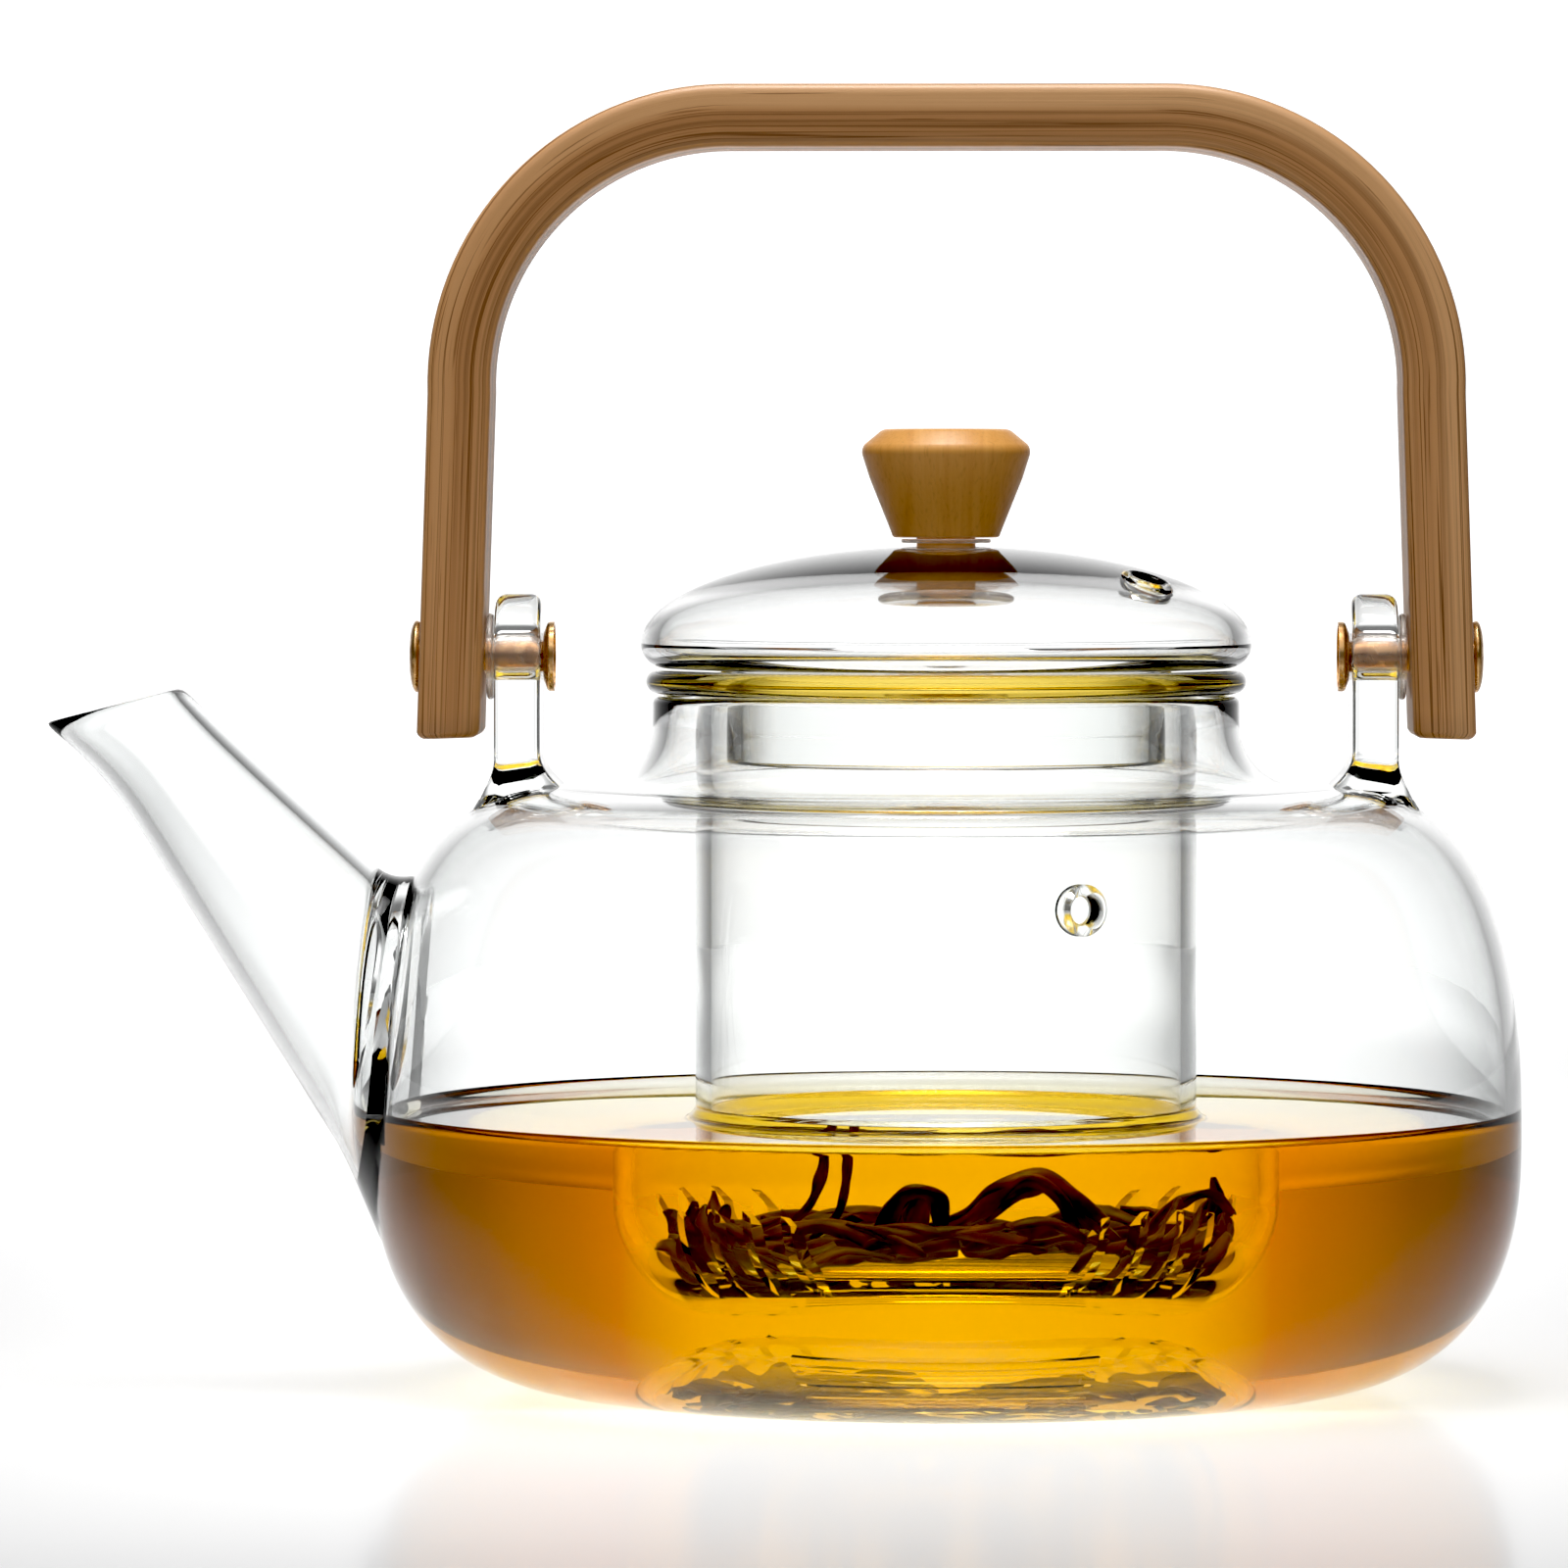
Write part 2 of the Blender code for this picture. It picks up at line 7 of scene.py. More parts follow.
import bmesh
import bpy
import numpy as np
from mathutils import Matrix, Vector
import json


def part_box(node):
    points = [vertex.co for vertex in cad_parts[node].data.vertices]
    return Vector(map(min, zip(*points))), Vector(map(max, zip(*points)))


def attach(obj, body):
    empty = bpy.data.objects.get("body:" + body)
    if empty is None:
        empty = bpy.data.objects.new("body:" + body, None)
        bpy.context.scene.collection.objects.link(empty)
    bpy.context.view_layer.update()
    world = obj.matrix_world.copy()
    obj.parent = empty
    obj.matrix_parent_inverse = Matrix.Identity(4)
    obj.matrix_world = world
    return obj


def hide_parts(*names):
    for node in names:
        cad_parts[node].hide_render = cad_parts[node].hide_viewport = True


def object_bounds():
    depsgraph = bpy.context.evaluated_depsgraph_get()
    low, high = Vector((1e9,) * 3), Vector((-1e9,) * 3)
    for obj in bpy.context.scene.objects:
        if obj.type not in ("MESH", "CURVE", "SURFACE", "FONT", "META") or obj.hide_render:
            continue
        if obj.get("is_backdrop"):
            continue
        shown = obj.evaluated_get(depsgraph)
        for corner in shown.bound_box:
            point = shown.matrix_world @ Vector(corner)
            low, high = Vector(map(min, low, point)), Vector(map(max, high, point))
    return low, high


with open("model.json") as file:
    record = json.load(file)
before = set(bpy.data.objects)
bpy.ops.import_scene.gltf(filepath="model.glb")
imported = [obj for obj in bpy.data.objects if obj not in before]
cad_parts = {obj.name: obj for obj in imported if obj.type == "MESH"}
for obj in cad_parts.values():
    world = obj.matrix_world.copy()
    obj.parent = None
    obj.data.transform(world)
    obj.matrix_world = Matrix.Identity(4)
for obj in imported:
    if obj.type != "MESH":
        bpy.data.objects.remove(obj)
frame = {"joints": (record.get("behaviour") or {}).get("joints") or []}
CAD_LOW, CAD_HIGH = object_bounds()

MM = 0.001
TAU = 2 * math.pi

# ---- sizes taken from the frame
BODY_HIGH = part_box("pot_body")[1]
BODY_RADIUS = BODY_HIGH.x
RIM_Z = BODY_HIGH.z
LUG_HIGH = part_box("lug_right")[1]
INFUSER_LOW, INFUSER_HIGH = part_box("infuser")
LID_LOW, LID_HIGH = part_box("lid")
KNOB_LOW, KNOB_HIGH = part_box("lid_knob")
GASKET_LOW, GASKET_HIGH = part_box("knob_gasket")
WASHER_LOW, WASHER_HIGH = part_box("knob_washer")
HANDLE_LOW, HANDLE_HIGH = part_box("handle")
RIVET_LOW, RIVET_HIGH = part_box("rivet_right")
CAP_LOW, CAP_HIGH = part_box("rivet_cap_right")
GROMMET_LOW, GROMMET_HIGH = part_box("grommet_right")
PIVOT_Z = next(joint for joint in frame["joints"] if joint["name"] == "handle_swing")["pos_m"][2]

# ---- sizes of the glass
GAP = 0.25 * MM            # between pieces that touch
SHARP_TURN = math.radians(42)
BOWL_SEGMENTS = 176
TUBE_SEGMENTS = 160
SMALL_SEGMENTS = 64

WALL = 2.0 * MM
FLOOR = 2.5 * MM
HOLLOW_RISE = 0.8 * MM     # of the underside, over the surface it stands on
WAIST_Z = 33.0 * MM
BASE_RADIUS = 44.0 * MM
SHOULDER_Z = 79.0 * MM
SHOULDER_RADIUS = 50.0 * MM
SIDE_POWER = 2.5
NECK_RADIUS = 38.4 * MM
NECK_FILLET = 8.0 * MM
NECK_CENTRE = (NECK_RADIUS + NECK_FILLET, SHOULDER_Z + NECK_FILLET)
MOUTH_ROUNDING = 1.0 * MM

SPOUT_WALL = 1.7 * MM
SPOUT_LIP = Vector((-0.1143, 0, 0.0870))
SPOUT_BROW = Vector((-0.1002, 0, 0.0917))
SPOUT_HEEL = Vector((-0.0720, 0, 0.0196))
SPOUT_ROOT = Vector((-0.0660, 0, 0.0604))
SPOUT_WIDTHS = (15.6 * MM, 37.0 * MM)
SPOUT_COLUMNS = 96
SPOUT_WELD = 5.0 * MM
LIP_FLARE = 4.0 * MM
LIP_SHARE = 0.24
LIP_ROUNDING = 0.02        # share of the spout's length over which the lip's edge is rounded
POUR_RADIUS = 11.3 * MM
POUR_Z = 50.2 * MM

LUG_INNER_X = CAP_HIGH.x + GAP
LUG_OUTER_X = LUG_INNER_X + 6.0 * MM
LUG_ROUNDING = 1.4 * MM
LUG_WELD = 4.6 * MM
LUG_BORE = 3.1 * MM
WELD_ROUNDS = 8            # how often a weld's swelling is worked out again from its own result

INFUSER_RADIUS = 32.8 * MM
INFUSER_CORNER = 7.5 * MM
FLANGE_NECK = 1.2 * MM
SLIT_TOP_Z = 26.5 * MM
SLIT_WIDTH = 1.1 * MM
SLIT_PITCH = 5.0 * MM
SAW_RADIUS = 22.0 * MM
SIDE_HOLE = Vector((17.6 * MM, 0, 64.0 * MM))
DRILL_REACH = 6.0 * MM
BEAD_RADIUS = 2.75 * MM

LID_EQUATOR_Z = 97.5 * MM
LID_WALL = 2.4 * MM
LID_CURL = 3.1 * MM
LID_HOLE = 4.15 * MM
SLEEVE_RADIUS = 28.7 * MM
SLEEVE_WALL = 2.0 * MM
VENT_PLACE = (25.6 * MM, -16.2 * MM)

# ---- sizes of the wood and the metal
STEM_RADIUS = 3.85 * MM
KNOB_FOOT = 7.1 * MM
KNOB_TOP = 9.4 * MM
KNOB_CHAMFER = 2.8 * MM
BAIL_HALF_THICK = 4.1 * MM
BAIL_ROUNDING = 1.3 * MM
BAIL_SPLAY = math.radians(1.9)
BAIL_BEND = 34.9 * MM
BAIL_BEND_X = 28.45 * MM
BAIL_BEND_Z = 131.3 * MM
HEAD_DEPTH = 1.4 * MM
SHANK_RADIUS = 2.0 * MM
CAP_BORE = 2.2 * MM
CAP_SHEET = 0.5 * MM
SLEEVE_RADII = (2.25 * MM, 2.85 * MM)

# ---- sizes of the tea
TEA_Z = 35.5 * MM
TEA_CLIMB = 1.5 * MM       # how far the tea climbs at the glass
CLIMB_POWER = 2.4
WALL_CLIMB_REACH = 2.6 * MM
TUBE_CLIMB_REACH = 1.8 * MM
INTO_GLASS = 0.5 * MM      # how far the tea reaches into the wall, so that no air film is left between
TEA_SPLIT = 31.8 * MM      # where the strong tea starts, within the infuser's wall
TEA_INSET = 0.06 * MM      # how far the strong tea stays inside the tea
LEAF_THICKNESS = 0.38      # millimetres, like all the leaves' own numbers
LEAF_COLUMNS = 9
LEAF_COUNT = 64
LEAF_SEED = 11
SEED_OF_FIRST_LEAF = 100
LEAF_LIMIT = 27.6          # how far from the axis a leaf may lie
CORNER_START = 24.5        # where the infuser's floor starts to rise


# ---- outlines
def sweep(centre, half, power, start, end, steps):
    """Points of a superellipse; angles in degrees from +R towards +Z."""
    points = []
    for step in range(steps + 1):
        angle = math.radians(start + (end - start) * step / steps)
        across, up = (math.copysign(abs(t) ** (2 / power), t) for t in (math.cos(angle), math.sin(angle)))
        points.append((centre[0] + half[0] * across, centre[1] + half[1] * up))
    return points


def arc(centre, radius, start, end, steps):
    return sweep(centre, (radius, radius), 2, start, end, steps)


def line(start, end, steps):
    """Evenly spaced points from start up to, but without, end."""
    return [tuple(a + (b - a) * step / steps for a, b in zip(start, end)) for step in range(steps)]


def bowl_side(inset, floor_inset, low_steps=36, high_steps=36):
    """The bowl's side from the edge of the base up to the shoulder, moved inwards by inset."""
    lower_half = (BODY_RADIUS - BASE_RADIUS - inset, WAIST_Z - floor_inset)
    lower = sweep((BASE_RADIUS, WAIST_Z), lower_half, SIDE_POWER, -90, 0, low_steps)
    upper_half = (BODY_RADIUS - SHOULDER_RADIUS - inset, SHOULDER_Z - WAIST_Z - inset)
    upper = sweep((SHOULDER_RADIUS, WAIST_Z), upper_half, SIDE_POWER, 0, 90, high_steps)
    return lower + upper[1:]


def bulge(share):
    """How far the side's curve stands out, from 1 at share 0 to 0 at share 1 (numpy)."""
    return np.clip(1 - np.clip(share, 0, 1) ** SIDE_POWER, 0, 1) ** (1 / SIDE_POWER)


def bowl_radius(z):
    """Radius of the bowl's outer side at a height (numpy)."""
    z = np.asarray(z, float)
    low = bulge((WAIST_Z - z) / WAIST_Z)
    high = bulge((z - WAIST_Z) / (SHOULDER_Z - WAIST_Z))
    low_radius = BASE_RADIUS + (BODY_RADIUS - BASE_RADIUS) * low
    high_radius = SHOULDER_RADIUS + (BODY_RADIUS - SHOULDER_RADIUS) * high
    return np.where(z < WAIST_Z, low_radius, high_radius)


def shoulder_height(radius):
    """Height of the bowl's shoulder at a distance from the axis (numpy)."""
    share = (radius - SHOULDER_RADIUS) / (BODY_RADIUS - SHOULDER_RADIUS)
    return WAIST_Z + (SHOULDER_Z - WAIST_Z) * bulge(share)


# ---- mesh tools
def place_object(name, data):
    """Put an object that shows the data into the scene."""
    made = bpy.data.objects.new(name, data)
    bpy.context.scene.collection.objects.link(made)
    return made


def mesh_object(name, points, faces, materials, face_slots=None):
    """A smooth-shaded mesh; face_slots gives each face's material."""
    mesh = bpy.data.meshes.new(name)
    mesh.from_pydata([tuple(p) for p in points], [], faces)
    mesh.update()
    made = place_object(name, mesh)
    for finish in materials:
        mesh.materials.append(finish)
    if face_slots is not None:
        mesh.polygons.foreach_set("material_index", face_slots)
    mesh.shade_smooth()
    return made


def grid_faces(rows, columns, close_rows):
    """Quads between closed rows of points."""
    faces = []
    for row in range(rows if close_rows else rows - 1):
        low = row * columns
        high = (row + 1) % rows * columns
        for column in range(columns):
            after = (column + 1) % columns
            faces.append((low + column, low + after, high + after, high + column))
    return faces


def turned(name, outline, segments, materials, closed=False, slot_of=lambda middle: 0):
    """Lathe an outline of (radius, z) about Z. An open outline starts and ends on the axis."""
    outline = np.array(outline, float)
    ends = [] if closed else [outline[0], outline[-1]]
    rings = outline if closed else outline[1:-1]
    angles = np.arange(segments) * TAU / segments
    ways = np.stack([np.cos(angles), np.sin(angles)], 1)
    points = np.concatenate([np.insert(radius * ways, 2, z, 1) for radius, z in rings])
    faces = grid_faces(len(rings), segments, closed)
    slots = [slot_of((rings[f[0] // segments] + rings[f[2] // segments]) / 2) for f in faces]
    for end, (_, z) in enumerate(ends):
        tip = len(points)
        points = np.vstack([points, (0, 0, z)])
        first = 0 if end == 0 else (len(rings) - 1) * segments
        for k in range(segments):
            pair = (first + k, first + (k + 1) % segments)
            faces.append((tip, pair[1], pair[0]) if end == 0 else (tip, pair[0], pair[1]))
            slots.append(slot_of((0.0, z)))
    return face_outwards(mesh_object(name, points, faces, materials, slots))


def face_outwards(made):
    """Turn all faces of a closed mesh outwards."""
    builder = bmesh.new()
    builder.from_mesh(made.data)
    bmesh.ops.recalc_face_normals(builder, faces=builder.faces)
    if builder.calc_volume(signed=True) < 0:
        bmesh.ops.reverse_faces(builder, faces=builder.faces)
    builder.to_mesh(made.data)
    builder.free()
    return made


def skin(name, rings, materials):
    """Close a list of equal rings of points into a tube with flat ends."""
    rings = np.array(rings, float)
    rows, columns, _ = rings.shape
    faces = grid_faces(rows, columns, False)
    faces.append(tuple(range(columns)))
    faces.append(tuple(reversed(range((rows - 1) * columns, rows * columns))))
    return face_outwards(mesh_object(name, rings.reshape(-1, 3), faces, materials))


def set_grain(piece, places):
    """Give each point its place along, across and through the piece, which its material reads."""
    layer = piece.data.attributes.new("grain", "FLOAT_VECTOR", "POINT")
    layer.data.foreach_set("vector", np.array(places, float).ravel())


def combine(piece, tool, operation):
    """Apply a Boolean and drop the tool."""
    change = piece.modifiers.new("combine", "BOOLEAN")
    change.operation = operation
    change.solver = "EXACT"
    change.object = tool
    graph = bpy.context.evaluated_depsgraph_get()
    made = bpy.data.meshes.new_from_object(piece.evaluated_get(graph))
    piece.modifiers.clear()
    old = piece.data
    piece.data = made
    bpy.data.meshes.remove(old)
    bpy.data.objects.remove(tool)
    piece.data.shade_smooth()


def aim_along(piece, place, direction):
    """Turn a piece made about Z so that it stands at a place along a direction."""
    piece.data.transform(Matrix.Translation(place) @ direction.to_track_quat("Z", "Y").to_matrix().to_4x4())


# ---- node tools
def add(tree, kind, inputs=None, **settings):
    """Add a shader node; an input is either a value or a socket to link from."""
    node = tree.nodes.new("ShaderNode" + kind)
    for key, value in settings.items():
        setattr(node, key, value)
    for key, value in (inputs or {}).items():
        if isinstance(value, bpy.types.NodeSocket):
            tree.links.new(value, node.inputs[key])
        else:
            node.inputs[key].default_value = value
    return node


def calculate(tree, operation, one, other=0.0):
    return add(tree, "Math", {0: one, 1: other}, operation=operation).outputs[0]


def spread(tree, value, low, high, to_low=0.0, to_high=1.0):
    """Map a value from one range to another, smoothly and held at both ends."""
    limits = {"Value": value, "From Min": low, "From Max": high, "To Min": to_low, "To Max": to_high}
    return add(tree, "MapRange", limits, interpolation_type="SMOOTHSTEP").outputs["Result"]


def ramp(tree, factor, stops):
    """Colours along a factor; stops are pairs of place and colour."""
    node = add(tree, "ValToRGB", {"Fac": factor})
    bar = node.color_ramp
    bar.interpolation = "LINEAR"
    bar.elements.remove(bar.elements[1])
    bar.elements[0].position = stops[0][0]
    bar.elements[0].color = (*stops[0][1], 1)
    for place, colour in stops[1:]:
        bar.elements.new(place).color = (*colour, 1)
    return node.outputs["Color"]


def blend_colours(tree, factor, one, other):
    """Mix two colours, each a value or a socket."""
    node = add(tree, "Mix", {"Factor": factor}, data_type="RGBA")
    for index, value in ((6, one), (7, other)):
        if isinstance(value, bpy.types.NodeSocket):
            tree.links.new(value, node.inputs[index])
        else:
            node.inputs[index].default_value = (*value, 1)
    return node.outputs[2]


def multiplied(tree, factor, base, shade):
    """A colour darkened by another one."""
    inputs = {0: factor, 6: base, 7: shade}
    return add(tree, "Mix", inputs, data_type="RGBA", blend_type="MULTIPLY").outputs[2]


def noise(tree, vector, scale, detail=2.0, roughness=0.5, distortion=0.0):
    settings = {"Vector": vector, "Scale": scale, "Detail": detail, "Roughness": roughness}
    return add(tree, "TexNoise", {**settings, "Distortion": distortion}).outputs["Fac"]


def bump(tree, height, distance):
    settings = {"Height": height, "Distance": distance, "Strength": 1.0}
    return add(tree, "Bump", settings).outputs["Normal"]


def stretched_noise(tree, vector, scale, *settings):
    """Noise with its own scale along each axis."""
    scaled = add(tree, "Mapping", {"Vector": vector, "Scale": scale}).outputs["Vector"]
    return noise(tree, scaled, 1.0, *settings)


def object_coords(tree):
    return add(tree, "TexCoord").outputs["Object"]


def new_material(name):
    made = bpy.data.materials.new(name)
    made.use_nodes = True
    tree = made.node_tree
    tree.nodes.clear()
    return made, tree, add(tree, "OutputMaterial")


def principled(tree, output, inputs):
    shader = add(tree, "BsdfPrincipled", inputs)
    tree.links.new(shader.outputs["BSDF"], output.inputs["Surface"])


# ---- materials
def glass_material(name, ior, clear, shaded, mirror=0.35):
    """Blown glass: slow waves in the surface and a breath of tint that varies. mirror dims what it reflects."""
    made, tree, output = new_material(name)
    coords = object_coords(tree)
    waves = noise(tree, coords, 26.0, 1.0, 0.4)
    tint = ramp(tree, noise(tree, coords, 14.0), [(0.3, clear), (0.7, shaded)])
    smears = noise(tree, coords, 900.0, 3.0)
    roughness = ramp(tree, smears, [(0.55, (0, 0, 0)), (0.8, (0.02, 0.02, 0.02))])
    principled(tree, output, {
        "Base Color": tint, "Roughness": roughness, "IOR": ior, "Transmission Weight": 1.0,
        "Specular Tint": (mirror, mirror, mirror, 1), "Normal": bump(tree, waves, 0.00004),
    })
    return made


def swallow(tree, output, strength, colour):
    """What the tea takes out of the light on its way through."""
    shade = add(tree, "VolumeAbsorption", {"Color": (*colour, 1), "Density": strength})
    tree.links.new(shade.outputs["Volume"], output.inputs["Volume"])


def tea_materials(strength, colour):
    """The tea's surface, and its border inside glass, which bends no light."""
    surface, tree, output = new_material("tea_surface")
    ripple = noise(tree, object_coords(tree), 60.0, 1.0)
    principled(tree, output, {
        "Base Color": ramp(tree, ripple, [(0.3, (1, 1, 1)), (0.7, (0.99, 0.985, 0.97))]),
        "Roughness": 0.0, "IOR": 1.33, "Transmission Weight": 1.0, "Specular Tint": (0.2, 0.2, 0.2, 1),
        "Normal": bump(tree, ripple, 0.00001),
    })
    swallow(tree, output, strength, colour)
    border, tree, output = new_material("tea_border")
    clear = add(tree, "BsdfTransparent")
    tree.links.new(clear.outputs["BSDF"], output.inputs["Surface"])
    swallow(tree, output, strength, colour)
    return [surface, border]


def brew_material(strength, colour):
    """The stronger tea outside the infuser, which adds colour to the tea and bends no light itself."""
    made, tree, output = new_material("tea_brew")
    ripple = noise(tree, object_coords(tree), 60.0, 1.0)
    principled(tree, output, {
        "Base Color": ramp(tree, ripple, [(0.3, (1, 1, 1)), (0.7, (0.995, 0.99, 0.98))]),
        "Roughness": 0.0, "IOR": 1.0, "Transmission Weight": 1.0,
    })
    swallow(tree, output, strength, colour)
    return made


def bamboo_material():
    """Flat bamboo bar: long fibres and darker lines along it, all in warm browns."""
    made, tree, output = new_material("bamboo_fibres")
    grain = add(tree, "Attribute", attribute_name="grain").outputs["Vector"]
    fibres = stretched_noise(tree, grain, (6, 1300, 1300), 4.0, 0.65)
    bands = stretched_noise(tree, grain, (3, 300, 300), 2.0, 0.5)
    contour = stretched_noise(tree, grain, (2.5, 300, 560), 2.0, 0.5, 0.1)
    dashes = stretched_noise(tree, grain, (45, 2600, 2600), 1.0)
    base = ramp(tree, bands, [
        (0.32, (0.40, 0.195, 0.082)), (0.45, (0.52, 0.270, 0.120)),
        (0.56, (0.60, 0.325, 0.150)), (0.70, (0.68, 0.390, 0.190)),
    ])
    streaks = ramp(tree, fibres, [(0.34, (0.50, 0.47, 0.44)), (0.50, (1, 1, 1))])
    fibred = multiplied(tree, 0.7, base, streaks)
    off_line = calculate(tree, "ABSOLUTE", calculate(tree, "SUBTRACT", contour, 0.5))
    lined = blend_colours(tree, spread(tree, off_line, 0.003, 0.017, 0.70, 0.0), fibred, (0.13, 0.048, 0.014))
    specked = blend_colours(tree, spread(tree, dashes, 0.26, 0.36, 0.6, 0.0), lined, (0.17, 0.068, 0.024))
    principled(tree, output, {
        "Base Color": specked, "Roughness": spread(tree, fibres, 0.3, 0.7, 0.50, 0.34),
        "Normal": bump(tree, fibres, 0.00005),
    })
    return made


def knob_material():
    """Honey-coloured wood with faint growth rings."""
    made, tree, output = new_material("knob_wood_grain")
    coords = object_coords(tree)
    bent = stretched_noise(tree, coords, (40, 40, 8), 2.0)
    rings = stretched_noise(tree, coords, (520, 60, 26), 3.0, 0.6, 0.6)
    pores = stretched_noise(tree, coords, (2600, 2600, 120), 2.0)
    base = ramp(tree, rings, [
        (0.32, (0.68, 0.320, 0.085)), (0.5, (0.74, 0.365, 0.100)), (0.68, (0.78, 0.400, 0.120)),
    ])
    shade = ramp(tree, pores, [(0.32, (0.55, 0.55, 0.55)), (0.44, (1, 1, 1))])
    mottled = blend_colours(tree, spread(tree, bent, 0.4, 0.7, 0.0, 0.3), base, (0.68, 0.30, 0.07))
    mixed = multiplied(tree, 0.22, mottled, shade)
    principled(tree, output, {
        "Base Color": mixed, "Roughness": spread(tree, pores, 0.3, 0.7, 0.5, 0.34),
        "Coat Weight": 0.15, "Coat Roughness": 0.25, "Normal": bump(tree, pores, 0.00003),
    })
    return made


def brass_material():
    """Turned brass with fine circular marks and a little tarnish."""
    made, tree, output = new_material("turned_brass")
    coords = object_coords(tree)
    marks = stretched_noise(tree, coords, (9000, 900, 900), 2.0)
    tarnish = noise(tree, coords, 700.0, 3.0)
    colour = ramp(tree, tarnish, [(0.35, (0.50, 0.27, 0.11)), (0.6, (0.78, 0.50, 0.24))])
    principled(tree, output, {
        "Base Color": colour, "Metallic": 1.0, "Roughness": spread(tree, tarnish, 0.35, 0.65, 0.36, 0.20),
        "Normal": bump(tree, marks, 0.00001),
    })
    return made


def silicone_material(name, one, other, clearness):
    """Milky silicone with faint clouding."""
    made, tree, output = new_material(name)
    coords = object_coords(tree)
    clouds = noise(tree, coords, 500.0, 3.0)
    grain = noise(tree, coords, 4000.0, 2.0)
    principled(tree, output, {
        "Base Color": ramp(tree, clouds, [(0.35, one), (0.65, other)]),
        "Roughness": spread(tree, grain, 0.3, 0.7, 0.10, 0.20), "IOR": 1.41,
        "Transmission Weight": clearness, "Normal": bump(tree, grain, 0.00001),
    })
    return made


def leaf_material():
    """Wet tea leaf: almost black ribs, brown blade."""
    made, tree, output = new_material("wet_leaf")
    grain = add(tree, "Attribute", attribute_name="grain").outputs["Vector"]
    veins = stretched_noise(tree, grain, (300, 1400, 1400), 4.0, 0.6)
    patches = noise(tree, object_coords(tree), 260.0, 3.0)
    blade = ramp(tree, patches, [
        (0.3, (0.04, 0.013, 0.005)), (0.5, (0.095, 0.030, 0.009)), (0.7, (0.21, 0.068, 0.019)),
    ])
    shade = ramp(tree, veins, [(0.35, (0.35, 0.35, 0.35)), (0.55, (1, 1, 1))])
    mixed = multiplied(tree, 0.8, blade, shade)
    principled(tree, output, {
        "Base Color": mixed, "Roughness": spread(tree, veins, 0.3, 0.7, 0.30, 0.50),
        "Normal": bump(tree, veins, 0.00012),
    })
    return made


def floor_material():
    """Satin white table: mostly matt with a soft, faint reflection."""
    made, tree, output = new_material("satin_table")
    coords = object_coords(tree)
    fine = noise(tree, coords, 600.0, 3.0)
    white = ramp(tree, noise(tree, coords, 3.0), [(0.3, (0.86, 0.86, 0.865)), (0.7, (0.90, 0.90, 0.90))])
    matt = add(tree, "BsdfDiffuse", {"Color": white, "Normal": bump(tree, fine, 0.00001)})
    sheen = add(tree, "BsdfGlossy", {"Color": white, "Roughness": spread(tree, fine, 0.3, 0.7, 0.11, 0.14)})
    mixed = add(tree, "MixShader", {0: 0.22, 1: matt.outputs[0], 2: sheen.outputs[0]})
    tree.links.new(mixed.outputs[0], output.inputs["Surface"])
    return made


GLASS_IOR = 1.47
WET_IOR = 1.105             # glass against tea
TEA_COLOUR = (0.960, 0.822, 0.0)
CLEAR_GLASS = glass_material("pot_glass", GLASS_IOR, (0.985, 0.992, 0.990), (0.968, 0.982, 0.978), mirror=0.15)
TUBE_GLASS = glass_material("tube_glass", GLASS_IOR, (0.990, 0.990, 0.986), (0.978, 0.979, 0.972))
WET_GLASS = glass_material("wet_glass", WET_IOR, (0.990, 0.990, 0.975), (0.975, 0.975, 0.950))
LID_GLASS = glass_material("lid_glass", GLASS_IOR, (0.988, 0.992, 0.990), (0.972, 0.982, 0.978))
# The rim glass's amber colour is painted light: it stands in for tea-coloured light piped up the clear tube
# wall into the flange.
RIM_TEA_GLOW_GLASS = glass_material("rim_glass", GLASS_IOR, (0.84, 0.63, 0.13), (0.68, 0.49, 0.06))
BAMBOO = bamboo_material()
KNOB_WOOD = knob_material()
BRASS = brass_material()
SILICONE = silicone_material("washer_silicone", (0.90, 0.80, 0.73), (0.95, 0.88, 0.82), 0.88)
CLEAR_SILICONE = silicone_material("clear_silicone", (0.90, 0.84, 0.78), (0.95, 0.91, 0.87), 0.85)
LEAF = leaf_material()
TEA = tea_materials(2.0, TEA_COLOUR)
BREW = brew_material(64.0, TEA_COLOUR)


# ---- pot
NECK_CURVE = arc(NECK_CENTRE, NECK_FILLET, 270, 180, 16)
PROFILE = np.array([(0.0, 0.0)] + bowl_side(0.0, 0.0) + NECK_CURVE + [(NECK_RADIUS, RIM_Z)])


def off_the_bowl(points):
    """Distance of points from the bowl's outer surface, negative inside it."""
    flat = np.stack([np.hypot(points[:, 0], points[:, 1]), points[:, 2]], 1)
    start, end = PROFILE[:-1], PROFILE[1:]
    along = end - start
    share = ((flat[:, None] - start) * along).sum(2) / np.maximum((along ** 2).sum(1), 1e-12)
    nearest = start + np.clip(share, 0, 1)[..., None] * along
    distance = np.sqrt(((flat[:, None] - nearest) ** 2).sum(2)).min(1)
    inside = (flat[:, 0] < bowl_radius(flat[:, 1])) & (flat[:, 1] < shoulder_height(flat[:, 0]))
    return np.where(inside, -distance, distance)


def fillet(distance, radius):
    """How far a weld of that radius swells a piece at a distance from the surface it stands on."""
    share = np.clip(distance / radius, 0, 1)
    return 0.6 * radius * (1 - share) ** 2


